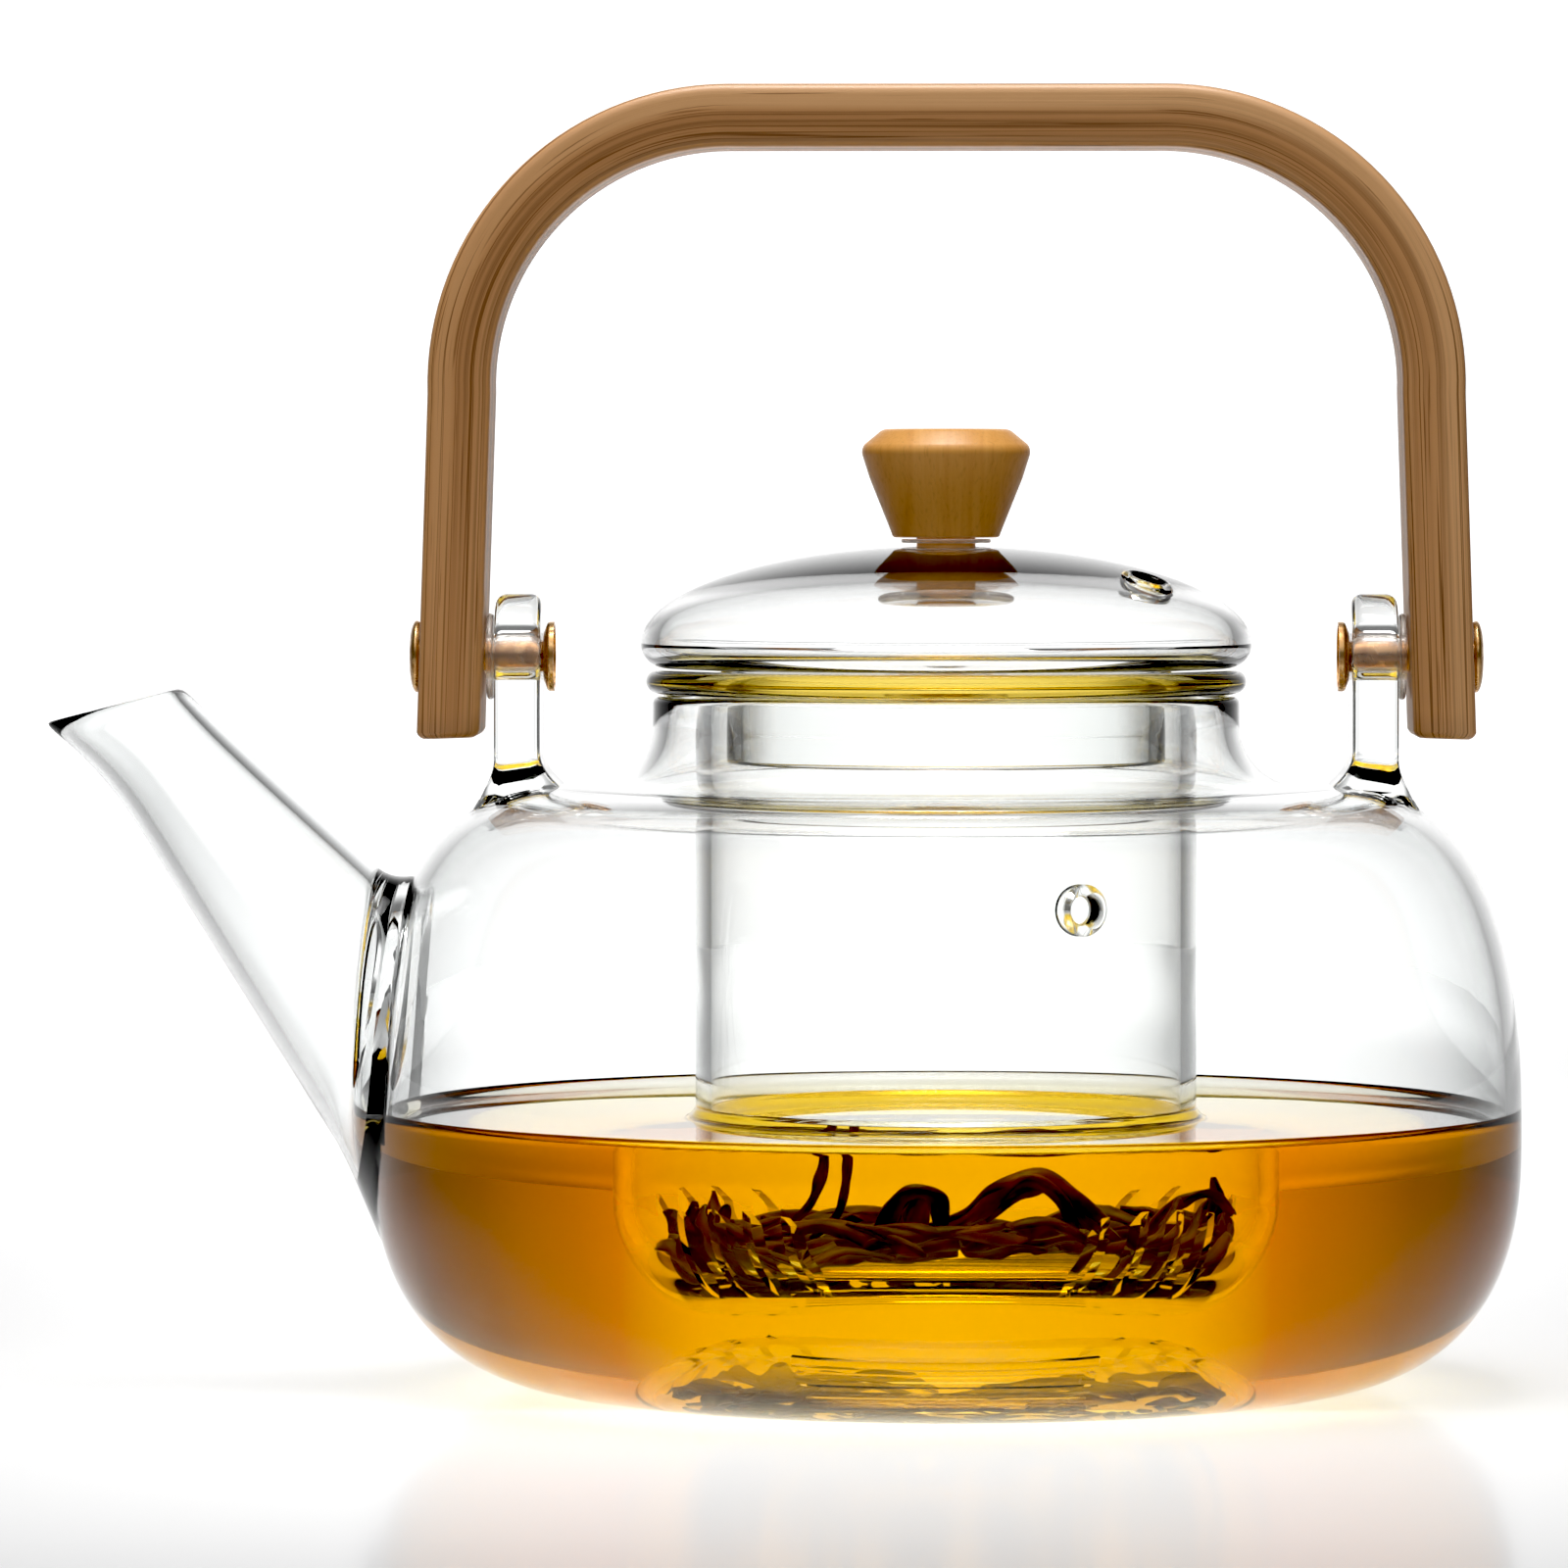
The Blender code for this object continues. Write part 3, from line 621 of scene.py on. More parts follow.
def bowl_outside():
    """The bowl as a solid, with a slightly hollow underside and a rounded mouth."""
    hollow = [(BASE_RADIUS * s, HOLLOW_RISE * (1 - s ** 2)) for s in (0.3, 0.6, 0.8, 0.9)]
    edge = (NECK_RADIUS - MOUTH_ROUNDING, RIM_Z - MOUTH_ROUNDING)
    rim = arc(edge, MOUTH_ROUNDING, 0, 90, 6)
    neck = arc(NECK_CENTRE, NECK_FILLET, 270, 180, 14)
    rim_inner = arc(edge, MOUTH_ROUNDING, 90, 150, 3)[1:]
    outline = [(0.0, HOLLOW_RISE)] + hollow + bowl_side(0.0, 0.0) + neck[:-1] + rim + rim_inner
    return turned("pot_glass", outline + [(0.0, rim_inner[-1][1])], BOWL_SEGMENTS, [CLEAR_GLASS])


def bowl_hollow():
    """The room inside the bowl, running out through the mouth."""
    neck = arc(NECK_CENTRE, NECK_FILLET + WALL, 270, 180, 14)
    bevel = ((0.0, -0.001), (0.00013, -0.0005), (0.0005, -0.00013), (0.0012, 0.0006))
    lip = [(NECK_RADIUS - WALL + out, RIM_Z + up) for out, up in bevel]
    outline = [(0.0, FLOOR)] + bowl_side(WALL, FLOOR) + neck + lip + [(0.0, lip[-1][1])]
    return turned("hollow", outline, BOWL_SEGMENTS, [CLEAR_GLASS])


def swollen(ring_of, columns, weld):
    """A ring of points, pushed outwards by a weld where it nears the bowl; ring_of takes the push of each."""
    push = np.zeros(columns)
    for _ in range(WELD_ROUNDS if weld else 0):
        push = (push + fillet(off_the_bowl(ring_of(push)), weld)) / 2
    return ring_of(push)


def spout_rings(shares, inset_of, weld):
    """Sections of the spout, or of its channel; a weld swells it outwards where it nears the bowl."""
    rings = []
    angles = np.arange(SPOUT_COLUMNS) * TAU / SPOUT_COLUMNS
    across = np.array((0.0, 1.0, 0.0))
    for share in shares:
        low = SPOUT_LIP.lerp(SPOUT_HEEL, share)
        high = SPOUT_BROW.lerp(SPOUT_ROOT, share)
        low.x -= LIP_FLARE * max(0.0, 1 - share / LIP_SHARE) ** 3
        centre = np.array((low + high) / 2)
        reach = np.array((high - low) / 2)
        half_width = (SPOUT_WIDTHS[0] + (SPOUT_WIDTHS[1] - SPOUT_WIDTHS[0]) * share) / 2
        inset = inset_of(share)
        half_reach = np.linalg.norm(reach) - inset * (1 + 0.4 * share)
        unit = reach / np.linalg.norm(reach)

        def ring_of(push):
            up = (half_reach + push)[:, None] * np.cos(angles)[:, None] * unit
            side = (half_width - inset + push)[:, None] * np.sin(angles)[:, None] * across
            return centre + up + side

        rings.append(swollen(ring_of, SPOUT_COLUMNS, weld))
    return rings


def outer_inset(share):
    """How far the spout's outside draws in to round its lip."""
    return SPOUT_WALL / 2 * (1 - math.sqrt(max(0.0, 1 - max(0.0, 1 - share / LIP_ROUNDING) ** 2)))


def make_spout():
    """The spout as a solid, and the channel to cut out of it."""
    lip_shares = [0.0, 0.002, 0.005, 0.01, LIP_ROUNDING]
    shares = lip_shares + list(np.linspace(0.04, LIP_SHARE, 9)) + list(np.linspace(0.28, 1.0, 40))
    shell = skin("spout_shell", spout_rings(shares, outer_inset, SPOUT_WELD), [CLEAR_GLASS])
    inner_rings = spout_rings([-0.04] + shares, lambda share: SPOUT_WALL - outer_inset(share), 0.0)
    return shell, skin("spout_channel", inner_rings, [CLEAR_GLASS])


def make_lug(side):
    """An upright ear with a round crown and soft edges, its foot spreading over the shoulder."""
    middle = side * (LUG_INNER_X + LUG_OUTER_X) / 2
    half_thick = (LUG_OUTER_X - LUG_INNER_X) / 2
    half_wide = LUG_HIGH.z - PIVOT_Z
    flat = half_wide - LUG_ROUNDING
    heights = list(np.linspace(SHOULDER_Z - 0.006 - PIVOT_Z, 0, 44))
    heights += [half_wide * math.sin(turn) for turn in np.linspace(0, math.radians(88), 22)[1:]]
    turns = np.linspace(0, math.pi, 19)
    rings = []
    for height in heights:
        rise = max(height, 0.0)
        across = -math.sqrt(half_wide ** 2 - rise ** 2) * np.cos(turns)
        edge = np.maximum(np.hypot(across, rise) - flat, 0)
        thick = half_thick - LUG_ROUNDING + np.sqrt(np.maximum(LUG_ROUNDING ** 2 - edge ** 2, 0))
        x = np.concatenate([thick, -thick[::-1]])
        y = np.concatenate([across, across[::-1]])
        ring = np.stack([middle + x, y, np.full(len(x), PIVOT_Z + height)], 1)
        away = np.stack([x / half_thick, (y / half_wide) ** 3, np.zeros(len(x))], 1)
        rings.append(swollen(lambda push: ring + away * push[:, None], len(x), LUG_WELD))
    return skin("lug", rings, [CLEAR_GLASS])


def rod(radius, start, end, segments=SMALL_SEGMENTS):
    """A cylinder between two points, used as a drill."""
    start, end = Vector(start), Vector(end)
    length = (end - start).length
    made = turned("drill", [(0, 0), (radius, 0), (radius, length), (0, length)], segments, [CLEAR_GLASS])
    aim_along(made, start, end - start)
    return made


def make_pot():
    """Bowl, spout and lugs melted into one piece of glass."""
    pot = bowl_outside()
    shell, channel = make_spout()
    combine(channel, bowl_outside(), "DIFFERENCE")
    combine(pot, shell, "UNION")
    for side in (-1, 1):
        combine(pot, make_lug(side), "UNION")
    combine(pot, bowl_hollow(), "DIFFERENCE")
    combine(pot, channel, "DIFFERENCE")
    combine(pot, rod(POUR_RADIUS, (-0.0790, 0, POUR_Z), (-0.055, 0, POUR_Z), 96), "DIFFERENCE")
    combine(pot, rod(LUG_BORE, (-0.07, 0, PIVOT_Z), (0.07, 0, PIVOT_Z)), "DIFFERENCE")
    pot.data.set_sharp_from_angle(angle=SHARP_TURN)
    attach(pot, "pot")
    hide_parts("pot_body", "spout", "lug_left", "lug_right")


# ---- infuser and lid
def drill_hole(piece, place, out, radius, half_width, half_depth, finish):
    """Drill a hole through a wall at a place and melt a fire-rounded bead into it."""
    combine(piece, rod(radius, place - out * DRILL_REACH, place + out * DRILL_REACH), "DIFFERENCE")
    section = sweep((BEAD_RADIUS, 0.0), (half_width, half_depth), 2, 0, 360, 24)[:-1]
    bead = turned("bead", section, 48, [finish], closed=True)
    aim_along(bead, place, out)
    combine(piece, bead, "UNION")


def slit_cutter(low_z):
    """Saw blades across the four corners of the floor, and straight slits in its middle."""
    builder = bmesh.new()
    reach = (SLIT_TOP_Z - low_z) / 2
    offset = math.sqrt(SAW_RADIUS ** 2 - 2 * reach ** 2) / math.sqrt(2)
    centre_x, centre_z = INFUSER_RADIUS - reach + offset, low_z + reach - offset
    for corner in range(4):
        turn = Matrix.Rotation(math.radians(45 + 90 * corner), 4, "Z")
        for slit in range(4):
            place = turn @ Matrix.Translation((centre_x, (slit - 1.5) * SLIT_PITCH, centre_z))
            bmesh.ops.create_cone(
                builder, cap_ends=True, segments=96, radius1=SAW_RADIUS, radius2=SAW_RADIUS, depth=SLIT_WIDTH,
                matrix=place @ Matrix.Rotation(math.pi / 2, 4, "X"),
            )
    size = Matrix.Diagonal((29 * MM, SLIT_WIDTH, 8 * MM, 1))
    for slit in range(5):
        place = Matrix.Translation((0, (slit - 2) * 7 * MM, low_z))
        bmesh.ops.create_cube(builder, size=1, matrix=place @ size)
    made = mesh_object("slits", [], [], [TUBE_GLASS, WET_GLASS])
    builder.to_mesh(made.data)
    builder.free()
    made.data.polygons.foreach_set("material_index", [1] * len(made.data.polygons))
    return made


def make_infuser():
    """Drawn tube with a rolled rim, a slit floor and a small side hole; its wet part is of WET_GLASS, and its
    rim is tinted amber as painted light piped up from the tea.
    """
    low_z, top_z = INFUSER_LOW.z, INFUSER_HIGH.z
    bore = INFUSER_RADIUS - WALL
    flange_z = RIM_Z + 0.0003
    edge = (top_z - flange_z) / 2
    wet_z = TEA_Z + TEA_CLIMB
    lip_rounding = 0.0009
    corner = (INFUSER_RADIUS - INFUSER_CORNER, low_z + INFUSER_CORNER)
    outside = line((0.0, low_z), (corner[0], low_z), 4) + arc(corner, INFUSER_CORNER, 270, 360, 16)
    side = line((INFUSER_RADIUS, wet_z), (INFUSER_RADIUS, flange_z - FLANGE_NECK), 4)
    neck = arc((INFUSER_RADIUS + FLANGE_NECK, flange_z - FLANGE_NECK), FLANGE_NECK, 180, 90, 5)
    flange = arc((INFUSER_HIGH.x - edge, flange_z + edge), edge, -90, 90, 14)
    lip = arc((bore + lip_rounding, top_z - lip_rounding), lip_rounding, 90, 180, 5)
    inside = line((bore, top_z - 0.004), (bore, wet_z), 4) + [(bore, wet_z)]
    bottom = arc(corner, INFUSER_CORNER - WALL, 360, 270, 14)
    bottom += [(corner[0] / 2, low_z + WALL), (0.0, low_z + WALL)]

    def slot_of(middle):
        if middle[1] < wet_z:
            return 1
        # Slot 2, the flange, gets the amber rim glass, a painted glow of tea light.
        return 2 if middle[1] > flange_z + 0.0002 else 0

    outline = outside + side + neck + flange + lip + inside + bottom
    finishes = [TUBE_GLASS, WET_GLASS, RIM_TEA_GLOW_GLASS]
    infuser = turned("infuser_glass", outline, TUBE_SEGMENTS, finishes, slot_of=slot_of)
    combine(infuser, slit_cutter(low_z), "DIFFERENCE")
    azimuth = -math.acos(SIDE_HOLE.x / INFUSER_RADIUS)
    out = Vector((math.cos(azimuth), math.sin(azimuth), 0))
    place = out * (INFUSER_RADIUS - WALL / 2) + Vector((0, 0, SIDE_HOLE.z))
    drill_hole(infuser, place, out, 2.7 * MM, 0.95 * MM, 1.55 * MM, TUBE_GLASS)
    infuser.data.set_sharp_from_angle(angle=SHARP_TURN)
    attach(infuser, "infuser")
    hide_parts("infuser")


def make_lid():
    """Hollow domed lid with a curled edge, a sleeve that sits in the infuser and a beaded vent hole."""
    radius, top_z, seat_z = LID_HIGH.x, LID_HIGH.z, INFUSER_HIGH.z + GAP
    rise, drop = top_z - LID_EQUATOR_Z, LID_EQUATOR_Z - seat_z
    flat_start = math.degrees(math.acos((LID_HOLE + 0.0006) / radius))
    dome = sweep((0.0, LID_EQUATOR_Z), (radius, rise), 2, flat_start, 0, 40)
    curl_centre = (radius - LID_CURL, LID_EQUATOR_Z)
    curled = sweep(curl_centre, (LID_CURL, drop), 2, 0, -90, 12)[1:]
    turn = 0.0012
    shoulder = arc((SLEEVE_RADIUS + turn, seat_z - turn), turn, 90, 180, 5)
    half_wall = SLEEVE_WALL / 2
    tip = arc((SLEEVE_RADIUS - half_wall, LID_LOW.z + half_wall), half_wall, 0, -180, 10)
    ledge = seat_z + SLEEVE_WALL
    shelf = arc((SLEEVE_RADIUS - SLEEVE_WALL + turn, ledge - turn), turn, 180, 90, 5)
    inner_half = (LID_CURL - LID_WALL + 0.0004, LID_EQUATOR_Z - ledge)
    inner_curl = sweep(curl_centre, inner_half, 2, -90, 0, 8)
    inner_end = math.degrees(math.acos((LID_HOLE + 0.0005) / (radius - LID_WALL)))
    inner_dome = sweep((0.0, LID_EQUATOR_Z), (radius - LID_WALL, rise - LID_WALL), 2, 0, inner_end, 36)
    inner_dome.append((LID_HOLE, inner_dome[-1][1] + 0.0005))
    inner_dome += [(LID_HOLE, dome[0][1] - 0.0006), (LID_HOLE + 0.0002, dome[0][1] - 0.0001)]
    outline = dome + curled + shoulder + tip + shelf + inner_curl[:-1] + inner_dome
    lid = turned("lid_glass", outline, TUBE_SEGMENTS, [LID_GLASS], closed=True)
    place = Vector((*VENT_PLACE, 0))
    slope = Vector((place.x / radius ** 2, place.y / radius ** 2, 0))
    height = rise * math.sqrt(1 - place.length_squared / radius ** 2)
    place.z = LID_EQUATOR_Z + height - LID_WALL / 2
    out = Vector((slope.x, slope.y, height / rise ** 2)).normalized()
    drill_hole(lid, place, out, 2.6 * MM, 1.0 * MM, 1.7 * MM, LID_GLASS)
    lid.data.set_sharp_from_angle(angle=SHARP_TURN)
    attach(lid, "lid")
    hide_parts("lid")


def make_knob():
    """Flared wooden knob with its stem and two soft rings."""
    low, high = KNOB_LOW.z, KNOB_HIGH.z
    foot_z = LID_HIGH.z + 0.00105
    chamfer_z = high - KNOB_CHAMFER
    radius = KNOB_HIGH.x
    foot = arc((KNOB_FOOT - 0.0005, foot_z + 0.0005), 0.0005, -90, 0, 4)
    flare = [(KNOB_FOOT + (radius - KNOB_FOOT) * s, foot_z + 0.0005 + (chamfer_z - foot_z - 0.0016) * s)
             for s in (0.25, 0.5, 0.75)]
    brow = arc((radius - 0.0016, chamfer_z - 0.0002), 0.0016, -18, 40, 8)
    top = arc((KNOB_TOP - 0.0018, high - 0.0018), 0.0018, 44, 88, 8)
    stem = arc((STEM_RADIUS - 0.0004, low + 0.0004), 0.0004, -90, 0, 3)
    outline = [(0, low)] + stem + [(STEM_RADIUS, foot_z)]
    outline += foot + flare + brow + top + [(4.0 * MM, high), (0, high)]
    knob = turned("knob_wood", outline, 96, [KNOB_WOOD])
    knob.data.set_sharp_from_angle(angle=math.radians(50))
    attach(knob, "lid")
    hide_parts("lid_knob")
    bore = STEM_RADIUS + 0.0002
    for name, node, box_low, box_high in (
        ("soft_gasket", "knob_gasket", GASKET_LOW, GASKET_HIGH),
        ("soft_washer", "knob_washer", WASHER_LOW, WASHER_HIGH),
    ):
        half = (box_high.z - box_low.z) / 2
        rim = arc((box_high.x - half, box_low.z + half), half, -90, 90, 8)
        ring = turned(name, [(bore, box_low.z)] + rim + [(bore, box_high.z)], 72, [CLEAR_SILICONE], closed=True)
        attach(ring, "lid")
        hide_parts(node)


# ---- bail and its pivots
def bail_path():
    """Centre points of the bar, its outward directions and the length along it, from left end to right."""
    half = [((BAIL_BEND_X * s, BAIL_BEND_Z + BAIL_BEND), math.pi / 2) for s in np.linspace(0, 1, 12)]
    turn = math.pi / 2 + BAIL_SPLAY
    for step in range(1, 33):
        angle = math.pi / 2 - turn * step / 32
        place = (BAIL_BEND_X + BAIL_BEND * math.cos(angle), BAIL_BEND_Z + BAIL_BEND * math.sin(angle))
        half.append((place, angle))
    x, z = half[-1][0]
    fall = HANDLE_LOW.z - z
    end_x = x - fall * math.tan(BAIL_SPLAY)
    for share in np.linspace(0, 1, 14)[1:]:
        half.append(((x + (end_x - x) * share, z + fall * share), -BAIL_SPLAY))
    mirrored = [((-c[0], c[1]), math.pi - a) for c, a in half[1:]]
    stations = mirrored[::-1] + half
    lengths = np.cumsum([0] + [math.dist(a[0], b[0]) for a, b in zip(stations, stations[1:])])
    return stations, lengths


def rounded_section(half_thick, half_wide):
    """Corners of a flat bar's section as (out, across), going round once."""
    section = []
    for sign_out, sign_wide, start in ((1, 1, 0), (-1, 1, 90), (-1, -1, 180), (1, -1, 270)):
        centre = (sign_out * (half_thick - BAIL_ROUNDING), sign_wide * (half_wide - BAIL_ROUNDING))
        section += arc(centre, BAIL_ROUNDING, start, start + 90, 4)
        if sign_out != sign_wide:
            section += [(sign_out * half_thick, sign_out * y * half_wide) for y in (-0.6, -0.2, 0.2, 0.6)]
    return section


def make_handle():
    """The bent bar, with slightly rounded ends."""
    wide = HANDLE_HIGH.y
    stations, lengths = bail_path()
    rings, grain = [], []
    section = rounded_section(BAIL_HALF_THICK, wide)
    ends = [(0.0009, 0.0), (0.0005, 0.0002), (0.0002, 0.0005), (0.0, 0.0009)]

    def add_ring(centre, angle, length, inset):
        out = np.array((math.cos(angle), 0.0, math.sin(angle)))
        middle = np.array((centre[0], 0.0, centre[1]))
        shape = rounded_section(BAIL_HALF_THICK - inset, wide - inset)
        rings.append([middle + out * t + np.array((0.0, w, 0.0)) for t, w in shape])
        grain.extend([(length, w, t) for t, w in section])

    def add_end(station, neighbour, length, order, sign):
        (centre, angle), (after, _) = station, neighbour
        for inset, along in order:
            share = along / math.dist(centre, after)
            place = [a + (b - a) * share for a, b in zip(centre, after)]
            add_ring(place, angle, length + sign * along, inset)

    add_end(stations[0], stations[1], lengths[0], ends, 1)
    for (centre, angle), length in list(zip(stations, lengths))[1:-1]:
        add_ring(centre, angle, length, 0.0)
    add_end(stations[-1], stations[-2], lengths[-1], ends[::-1], -1)
    handle = skin("bamboo_bail", rings, [BAMBOO])
    set_grain(handle, grain)
    handle.data.set_sharp_from_angle(angle=math.radians(50))
    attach(handle, "handle")
    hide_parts("handle")


def rivet_outline():
    head_low, shank_end = RIVET_HIGH.x - HEAD_DEPTH, RIVET_LOW.x
    radius = RIVET_HIGH.z - PIVOT_Z
    dome = sweep((0.0, head_low + 0.0004), (radius, 0.0010), 2.3, 0, 90, 10)
    outline = [(0, shank_end), (SHANK_RADIUS - 0.0002, shank_end), (SHANK_RADIUS, shank_end + 0.0002)]
    outline += [(SHANK_RADIUS, head_low), (radius - 0.0002, head_low)]
    return outline + dome[:-1] + [(0, dome[-1][1])]


def cap_outline():
    low, high, radius = CAP_LOW.x, CAP_HIGH.x, CAP_HIGH.z - PIVOT_Z
    dish = [(CAP_BORE, high), (CAP_BORE + 0.0009, high)]
    dish += arc((radius - 0.0005, high - 0.0009), 0.0005, 60, 0, 4)
    dish += [(radius, low), (radius - CAP_SHEET, low), (radius - CAP_SHEET, high - 0.0010)]
    return dish + [(CAP_BORE + 0.0008, high - CAP_SHEET), (CAP_BORE, high - CAP_SHEET)]


def grommet_outline():
    low, high, radius = LUG_OUTER_X + GAP, GROMMET_HIGH.x, GROMMET_HIGH.z - PIVOT_Z
    bore, outside = SLEEVE_RADII
    half = (high - low) / 2
    sleeve = [(bore, GROMMET_LOW.x), (outside, GROMMET_LOW.x), (outside, low)]
    return sleeve + arc((radius - half, low + half), half, -90, 90, 8) + [(bore, high)]


def make_pivots():
    """Rivets, their caps and the silicone washers, turned about the line of the pivots."""
    for word, side in (("left", -1), ("right", 1)):
        turn = Matrix.Translation((0, 0, PIVOT_Z)) @ Matrix.Rotation(side * math.pi / 2, 4, "Y")
        for name, outline, finish, node, body, slot in (
            ("brass_rivet_", rivet_outline(), BRASS, "rivet_", "handle", "brass"),
            ("brass_cap_", cap_outline(), BRASS, "rivet_cap_", "handle", "brass"),
            ("silicone_grommet_", grommet_outline(), SILICONE, "grommet_", "pot", "silicone"),
        ):
            piece = turned(name + word, outline, SMALL_SEGMENTS, [finish], closed=outline[0][0] > 0)
            piece.data.transform(turn)
            piece.data.set_sharp_from_angle(angle=math.radians(45))
            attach(piece, body)
            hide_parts(node + word)


# ---- tea and leaves
def climbing(start, reach, low_z):
    """The tea's surface as it nears glass at a radius, rising from low_z."""
    shares = np.linspace(0, 1, 9)
    return [(start + reach * (1 - s), low_z + TEA_CLIMB * s ** CLIMB_POWER) for s in shares]


def tea_outline(inset):
    """Outline of the tea outside the infuser, from the foot of the bowl's wall to the infuser's wall."""
    grip = WALL - INTO_GLASS + inset
    top_z, low_z = TEA_Z + TEA_CLIMB - inset, TEA_Z - inset
    side = [p for p in bowl_side(grip, FLOOR - INTO_GLASS + inset, 40, 60) if p[1] < top_z]
    edge = float(bowl_radius(top_z)) - grip
    shore = edge - 0.0005
    rise = [(edge, top_z), (shore, top_z)] + climbing(shore, -WALL_CLIMB_REACH, low_z)[-2::-1]
    return side + rise + climbing(INFUSER_RADIUS, TUBE_CLIMB_REACH, low_z)


def make_tea():
    """Tea in the pot and in the infuser; the part round the infuser is stronger."""
    bore = INFUSER_RADIUS - WALL
    top_z = TEA_Z + TEA_CLIMB
    inside = climbing(bore, -TUBE_CLIMB_REACH, TEA_Z)[::-1]

    def slot_of(place):
        return 1 if bore < place[0] < INFUSER_RADIUS and place[1] > top_z - 0.000002 else 0

    outline = [(0.0, FLOOR - INTO_GLASS)] + tea_outline(0.0) + inside + [(0.0, TEA_Z)]
    tea = turned("tea", outline, BOWL_SEGMENTS, TEA, slot_of=slot_of)
    floor_z = FLOOR - INTO_GLASS + TEA_INSET
    around = [(TEA_SPLIT, floor_z)] + tea_outline(TEA_INSET) + [(TEA_SPLIT, top_z - TEA_INSET)]
    brew = turned("strong_tea", around, BOWL_SEGMENTS, [BREW], closed=True)
    for piece in (tea, brew):
        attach(piece, "pot")


def smooth_path(points, steps):
    """Points along a Catmull-Rom curve through the given ones."""
    knots = np.array([points[0]] + list(points) + [points[-1]], float)
    made = []
    for k in range(len(points) - 1):
        a, b, c, d = knots[k:k + 4]
        for t in np.arange(steps) / steps:
            square, cube = 2 * a - 5 * b + 4 * c - d, 3 * b - a - 3 * c + d
            made.append(0.5 * (2 * b + (c - a) * t + square * t ** 2 + cube * t ** 3))
    made.append(knots[-1])
    return np.array(made)


def make_leaf(name, points, width, curl, twist, seed):
    """A curled strip of leaf along a path; all lengths in millimetres, curl and twist in radians."""
    random = np.random.default_rng(seed)
    path = smooth_path(points, 7)
    rows = len(path)
    tangents = np.gradient(path, axis=0)
    tangents /= np.linalg.norm(tangents, axis=1)[:, None]
    side = np.cross(tangents[0], (0.2, 0.3, 1.0))
    wave = random.uniform(0, TAU, 3)
    columns = np.linspace(-1, 1, LEAF_COLUMNS)
    rings, grain = [], []
    lengths = np.concatenate([[0], np.cumsum(np.linalg.norm(np.diff(path, axis=0), axis=1))])
    for row in range(rows):
        share = row / (rows - 1)
        side = side - tangents[row] * side.dot(tangents[row])
        side /= np.linalg.norm(side)
        normal = np.cross(tangents[row], side)
        turn = twist * (share - 0.5)
        across = side * math.cos(turn) + normal * math.sin(turn)
        up = np.cross(tangents[row], across)
        full = max(0.06, math.sin(math.pi * (0.04 + 0.92 * share)) ** 0.6)
        full *= 1 + 0.16 * math.sin(9 * share + wave[0]) + 0.07 * math.sin(23 * share + wave[1])
        half = width * full / 2
        bow = curl * (1 + 0.3 * math.sin(5 * share + wave[2]))
        upper, lower = [], []
        for u in columns:
            if abs(bow) > 0.05:
                radius = half / bow
                flat = (radius * math.sin(u * bow), radius * (1 - math.cos(u * bow)))
            else:
                flat = (u * half, 0.0)
            ruffle = 0.10 * width * math.sin(14 * share + 3 * u + wave[1]) * u * u
            thick = LEAF_THICKNESS / 2 * (1 - 0.75 * u ** 4) * (0.4 + 0.6 * full)
            thick *= 1.0 + 0.9 * math.exp(-30 * u * u)
            place = path[row] + across * flat[0] + up * (flat[1] + ruffle)
            face = up * math.cos(u * bow) - across * math.sin(u * bow)
            upper.append(place + face * thick)
            lower.append(place - face * thick)
        rings.append(upper + lower[::-1])
        grain += [(lengths[row] * MM, u * half * MM, 0.0) for u in (*columns, *columns[::-1])]
    leaf = skin(name, np.array(rings) * MM, [LEAF])
    set_grain(leaf, grain)
    return leaf


def scattered_leaves(random, floor):
    """Rolled and twisted leaves that lie in a flat heap on the infuser's floor, most of them crosswise."""
    made = []
    for _ in range(LEAF_COUNT):
        centre = np.array((random.uniform(-26, 26), random.uniform(-19, 15), 0.0))
        heading = random.normal(0, 0.42)
        length = random.uniform(8, 19)
        ahead = np.array((math.cos(heading), math.sin(heading), 0.0))
        base = floor + 0.8 + 3.0 * random.uniform(0, 1)
        points = []
        for share in (-0.5, -0.17, 0.17, 0.5):
            place = centre + ahead * length * share
            place += np.array((random.uniform(-0.8, 0.8), random.uniform(-1.2, 1.2), 0))
            place[2] = base + random.uniform(-0.9, 1.1)
            far = math.hypot(place[0], place[1])
            if far > LEAF_LIMIT:
                place[:2] *= LEAF_LIMIT / far
            place[2] = max(place[2], floor + 0.7 + max(0.0, far - CORNER_START) * 0.55)
            points.append(place)
        made.append((points, random.uniform(1.6, 4.4), random.uniform(1.0, 2.5), random.uniform(-3.0, 3.0)))
    return made


